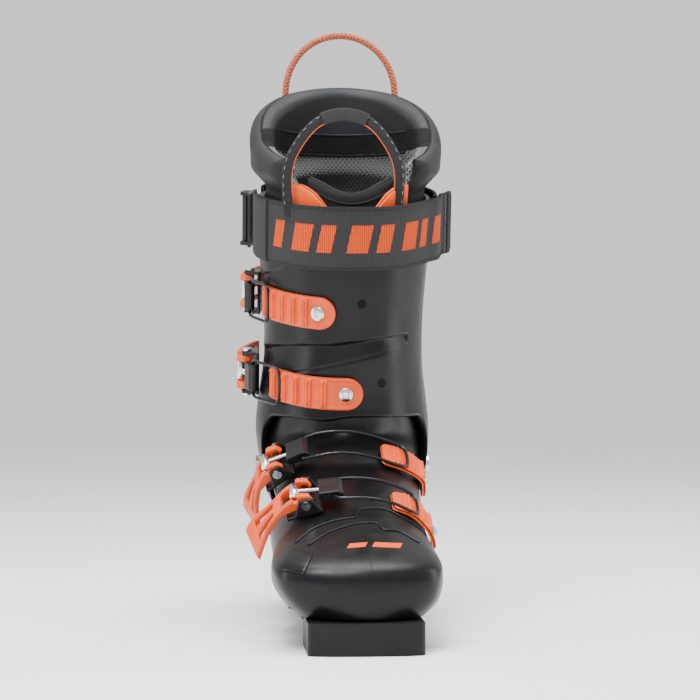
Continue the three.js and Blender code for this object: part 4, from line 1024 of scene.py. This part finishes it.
def build_collar():
    """The liner's shaft: a thin sleeve inside the cuff that swells to a padded collar."""
    start, end = LINER_START, 1 - LINER_START
    around, up = 170, 110
    u = np.linspace(start, end, around)[:, None]
    v = np.linspace(0, 1, up)[None]
    neck, top = cuff_top(u) + 4, collar_top(u)
    rise = 1 - (1 - np.clip((v - 0.4) / 0.6, 0, 1)) ** 1.5
    z = np.where(v < 0.4, lerp(124.0, neck, v / 0.4), lerp(neck, top, rise))
    wall = lerp(8, COLLAR_WALL, smooth(z - cuff_top(u), -6, 22))
    near_top = np.clip((z - top + wall / 2) / (wall / 2), 0, 1)
    rounding = wall / 2 * (1 - np.sqrt(np.clip(1 - near_top**2, 0.004, 1)))
    end_fall = np.minimum(u - start, end - u) / 0.012
    end_arc = np.sqrt(np.clip(1 - (1 - np.minimum(end_fall, 1)) ** 2, 0, 1))
    rounding = np.maximum(rounding, wall / 2 * (1 - end_arc) * 0.9)
    outer = collar_points(u, z, rounding)
    inner = collar_points(u, z, wall - rounding)
    points = np.concatenate([outer.reshape(-1, 3), inner.reshape(-1, 3)])
    faces = slab_faces(around, up)
    obj = piece("liner_collar", points, faces, "liner", "cuff", ["liner_shaft"])
    pinned = np.concatenate([(z < neck + 2 + 0 * z).ravel()] * 2)
    swell(obj, 2.5, 4, 14, pinned)
    lining = np.zeros(len(obj.data.polygons), np.int32)
    count = (around - 1) * (up - 1)
    inner_z = z[:-1, :-1].ravel()
    lining[count:2 * count] = np.where(inner_z < FLEECE_LOW, 3, np.where(inner_z < FLEECE_TOP, 2, 0))
    for key in ("lining", "fleece", "mesh"):
        obj.data.materials.append(M[key])
    obj.data.polygons.foreach_set("material_index", lining)
    build_collar_seams()


def build_collar_seams():
    for name, height, look in (("collar_seam", FLEECE_TOP, "liner"), ("fleece_seam", FLEECE_LOW, "fleece")):
        inside = np.linspace(0.34, 0.66, 120)
        path = collar_points(inside, np.full(120, float(height)), COLLAR_WALL - 0.2)
        points, faces, uv = sweep(path, oval(1.6, 1.2, 8), [0, 0, 1])
        piece(name, points, faces, look, "cuff", uv=uv)


def tongue_point(u, v, depth):
    share = u / TONGUE_HALF
    z = lerp(126, 278 + 12 * share**2, v)
    inset = liner_inset(0 * u, np.minimum(z, CUFF_TOP["front"])) + 2.4
    return surface(u, z, inset + depth)


def build_tongue():
    around, up = 110, 150
    u = np.linspace(-TONGUE_HALF, TONGUE_HALF, around)[:, None]
    v = np.linspace(0, 1, up)[None]
    thick = 7.0
    side = 1 - np.abs(u) / TONGUE_HALF
    edge = np.minimum(side / 0.1, np.minimum((1 - v) / 0.03, 1))
    fall = thick / 2 * (1 - np.sqrt(np.clip(1 - (1 - np.minimum(edge, 1)) ** 2, 0, 1))) * 0.9
    outer = tongue_point(u, v, 0.4 + fall)
    inner = tongue_point(u, v, thick - fall)
    points = np.concatenate([outer.reshape(-1, 3), inner.reshape(-1, 3)])
    obj = piece("tongue_pad", points, slab_faces(around, up), "lining", "cuff", ["tongue"])
    pinned = np.concatenate([(v < 0.8 + 0 * u).ravel()] * 2)
    swell(obj, 1.5, 1.5, 10, pinned)
    for name, v_at, size in (("tongue_piping", 0.995, 2.4), ("tongue_seam", 0.955, 1.4)):
        run = np.linspace(-TONGUE_HALF * 0.97, TONGUE_HALF * 0.97, 90)
        path = tongue_point(run, np.full(90, v_at), thick * 0.5 if size > 2 else 0.3)
        pts, faces, uv = sweep(path, oval(size, size, 10), [0, 0, 1])
        piece(name, pts, faces, "edging", "cuff", uv=uv)


def build_wings():
    """Orange plastic wings of the liner on both sides of the tongue."""
    for name, sign in (("medial", 1), ("lateral", -1)):
        across, up = 60, 24
        s = np.linspace(0, 1, across)[:, None]
        t = np.linspace(0, 1, up)[None]
        u = sign * lerp(0.055, 0.152, s) % 1
        peak = 263 + 22 * smooth(s, -0.25, 0.95)
        z = lerp(262.0, peak, t)
        edge = np.minimum(np.minimum(s, 1 - s) * 18, (1 - t) * 14)
        rise = 1.5 * np.minimum(1, 0.2 + edge / 1.2)
        inset = CUFF_WALL + 0.6
        outer = surface(u, z, inset - rise)
        inner = surface(u, z, inset + 1.6)
        points = np.concatenate([outer.reshape(-1, 3), inner.reshape(-1, 3)])
        piece("liner_wing_cover_" + name, points, slab_faces(across, up), "trim", "cuff",
              ["liner_wing_" + name])


def build_loops():
    base, y = LINER_TOP["rear"] - 8, float(surface(0.5, LINER_TOP["rear"])[1]) - 1
    t = np.linspace(-math.pi / 2, math.pi / 2, 13)
    arch = np.maximum(np.cos(t), 0) ** 0.9
    path = spline(np.stack([38 * np.sin(t), y + 0 * t, base + 44 * arch], -1).tolist(), 160)
    points, faces, uv = sweep(path, oval(4.2, 4.6, 16), [0, 1, 0])
    piece("rear_loop_braid", points, faces, "braid", "cuff", ["rear_loop"], uv)
    front = float(surface(0.0, 278.0)[1]) + CUFF_WALL + 3
    path = spline([(-35, 9, 264), (-36, 4, 291), (-30, 2, 308), (-17, 0, 323), (0, 0, 328), (17, 0, 323),
                   (30, 2, 308), (36, 4, 291), (35, 9, 264)], 160) + [-5, front, 0]
    points, faces, uv = sweep(path, oval(2.4, 6.6, 14, 3), [0, 1, 0])
    piece("tongue_loop_tape", points, faces, "edging", "cuff", ["tongue_loop"], uv)
    centre = np.array([-5, 0, 290])
    for name, inwards, size, look in (("tongue_loop_edge", 3.1, 0.9, "red"),
                                      ("tongue_loop_stitches", -2.2, 0.55, "thread")):
        away = path - centre
        away[:, 1] = 0
        away /= np.linalg.norm(away, axis=1, keepdims=True)
        line = path - inwards * away - [0, 1.25 if look == "thread" else 0.4, 0]
        if look == "red":
            parts = [sweep(line[8:-8], oval(size, size, 8), [0, 1, 0])[:2]]
        else:
            parts = [sweep(line[k:k + 3], oval(size, size, 6), [0, 1, 0])[:2] for k in range(8, 150, 5)]
        points, faces = merge(parts)
        piece(name, points, faces, look, "cuff")
    tab = path[66:95] - [0, 1.4, 0]
    points, faces, uv = sweep(tab, oval(1.2, 8.6, 14, 4), [0, 1, 0])
    piece("tongue_loop_tab", points, faces, "webbing", "cuff", uv=uv)


# ---------------------------------------------------------------- everything else
def soften_nodes():
    for node in ("toe_sole", "heel_sole"):
        bevel_node(node, "lug", 1.2)
    for node in NODES:
        if "sole_screw" in node or node.startswith("cuff_pivot") or node == "strap_rivet":
            bevel_node(node, "chrome", 0.5)
    for node, look in (("strap_buckle", "black"), ("strap_cam", "black"), ("boot_board", "foam"),
                       ("footbed", "foam"), ("liner_foot", "lining")):
        bevel_node(node, look, 0.5)


add_camera()
add_studio()
build_shell()
build_toe_lines()
surface_patch([(-43.9, 60.2), (-30, 57.7), (-36.3, 46.9), (-52, 47.5)], shell_surface, 0.9,
              "lever_rest", "shell", "shell")
surface_patch([(-10, 60.5), (1, 61.2), (3, 63.5), (-8, 62.8)], shell_surface, 0.25,
              "toe_mark_0", "trim", "shell")
surface_patch([(5, 61.2), (22, 60.2), (24, 62.5), (7, 63.5)], shell_surface, 0.25,
              "toe_mark_1", "trim", "shell")
build_cuff()
for buckle in BUCKLES:
    build_buckle(buckle)
build_straps()
build_collar()
build_tongue()
build_wings()
build_loops()
soften_nodes()
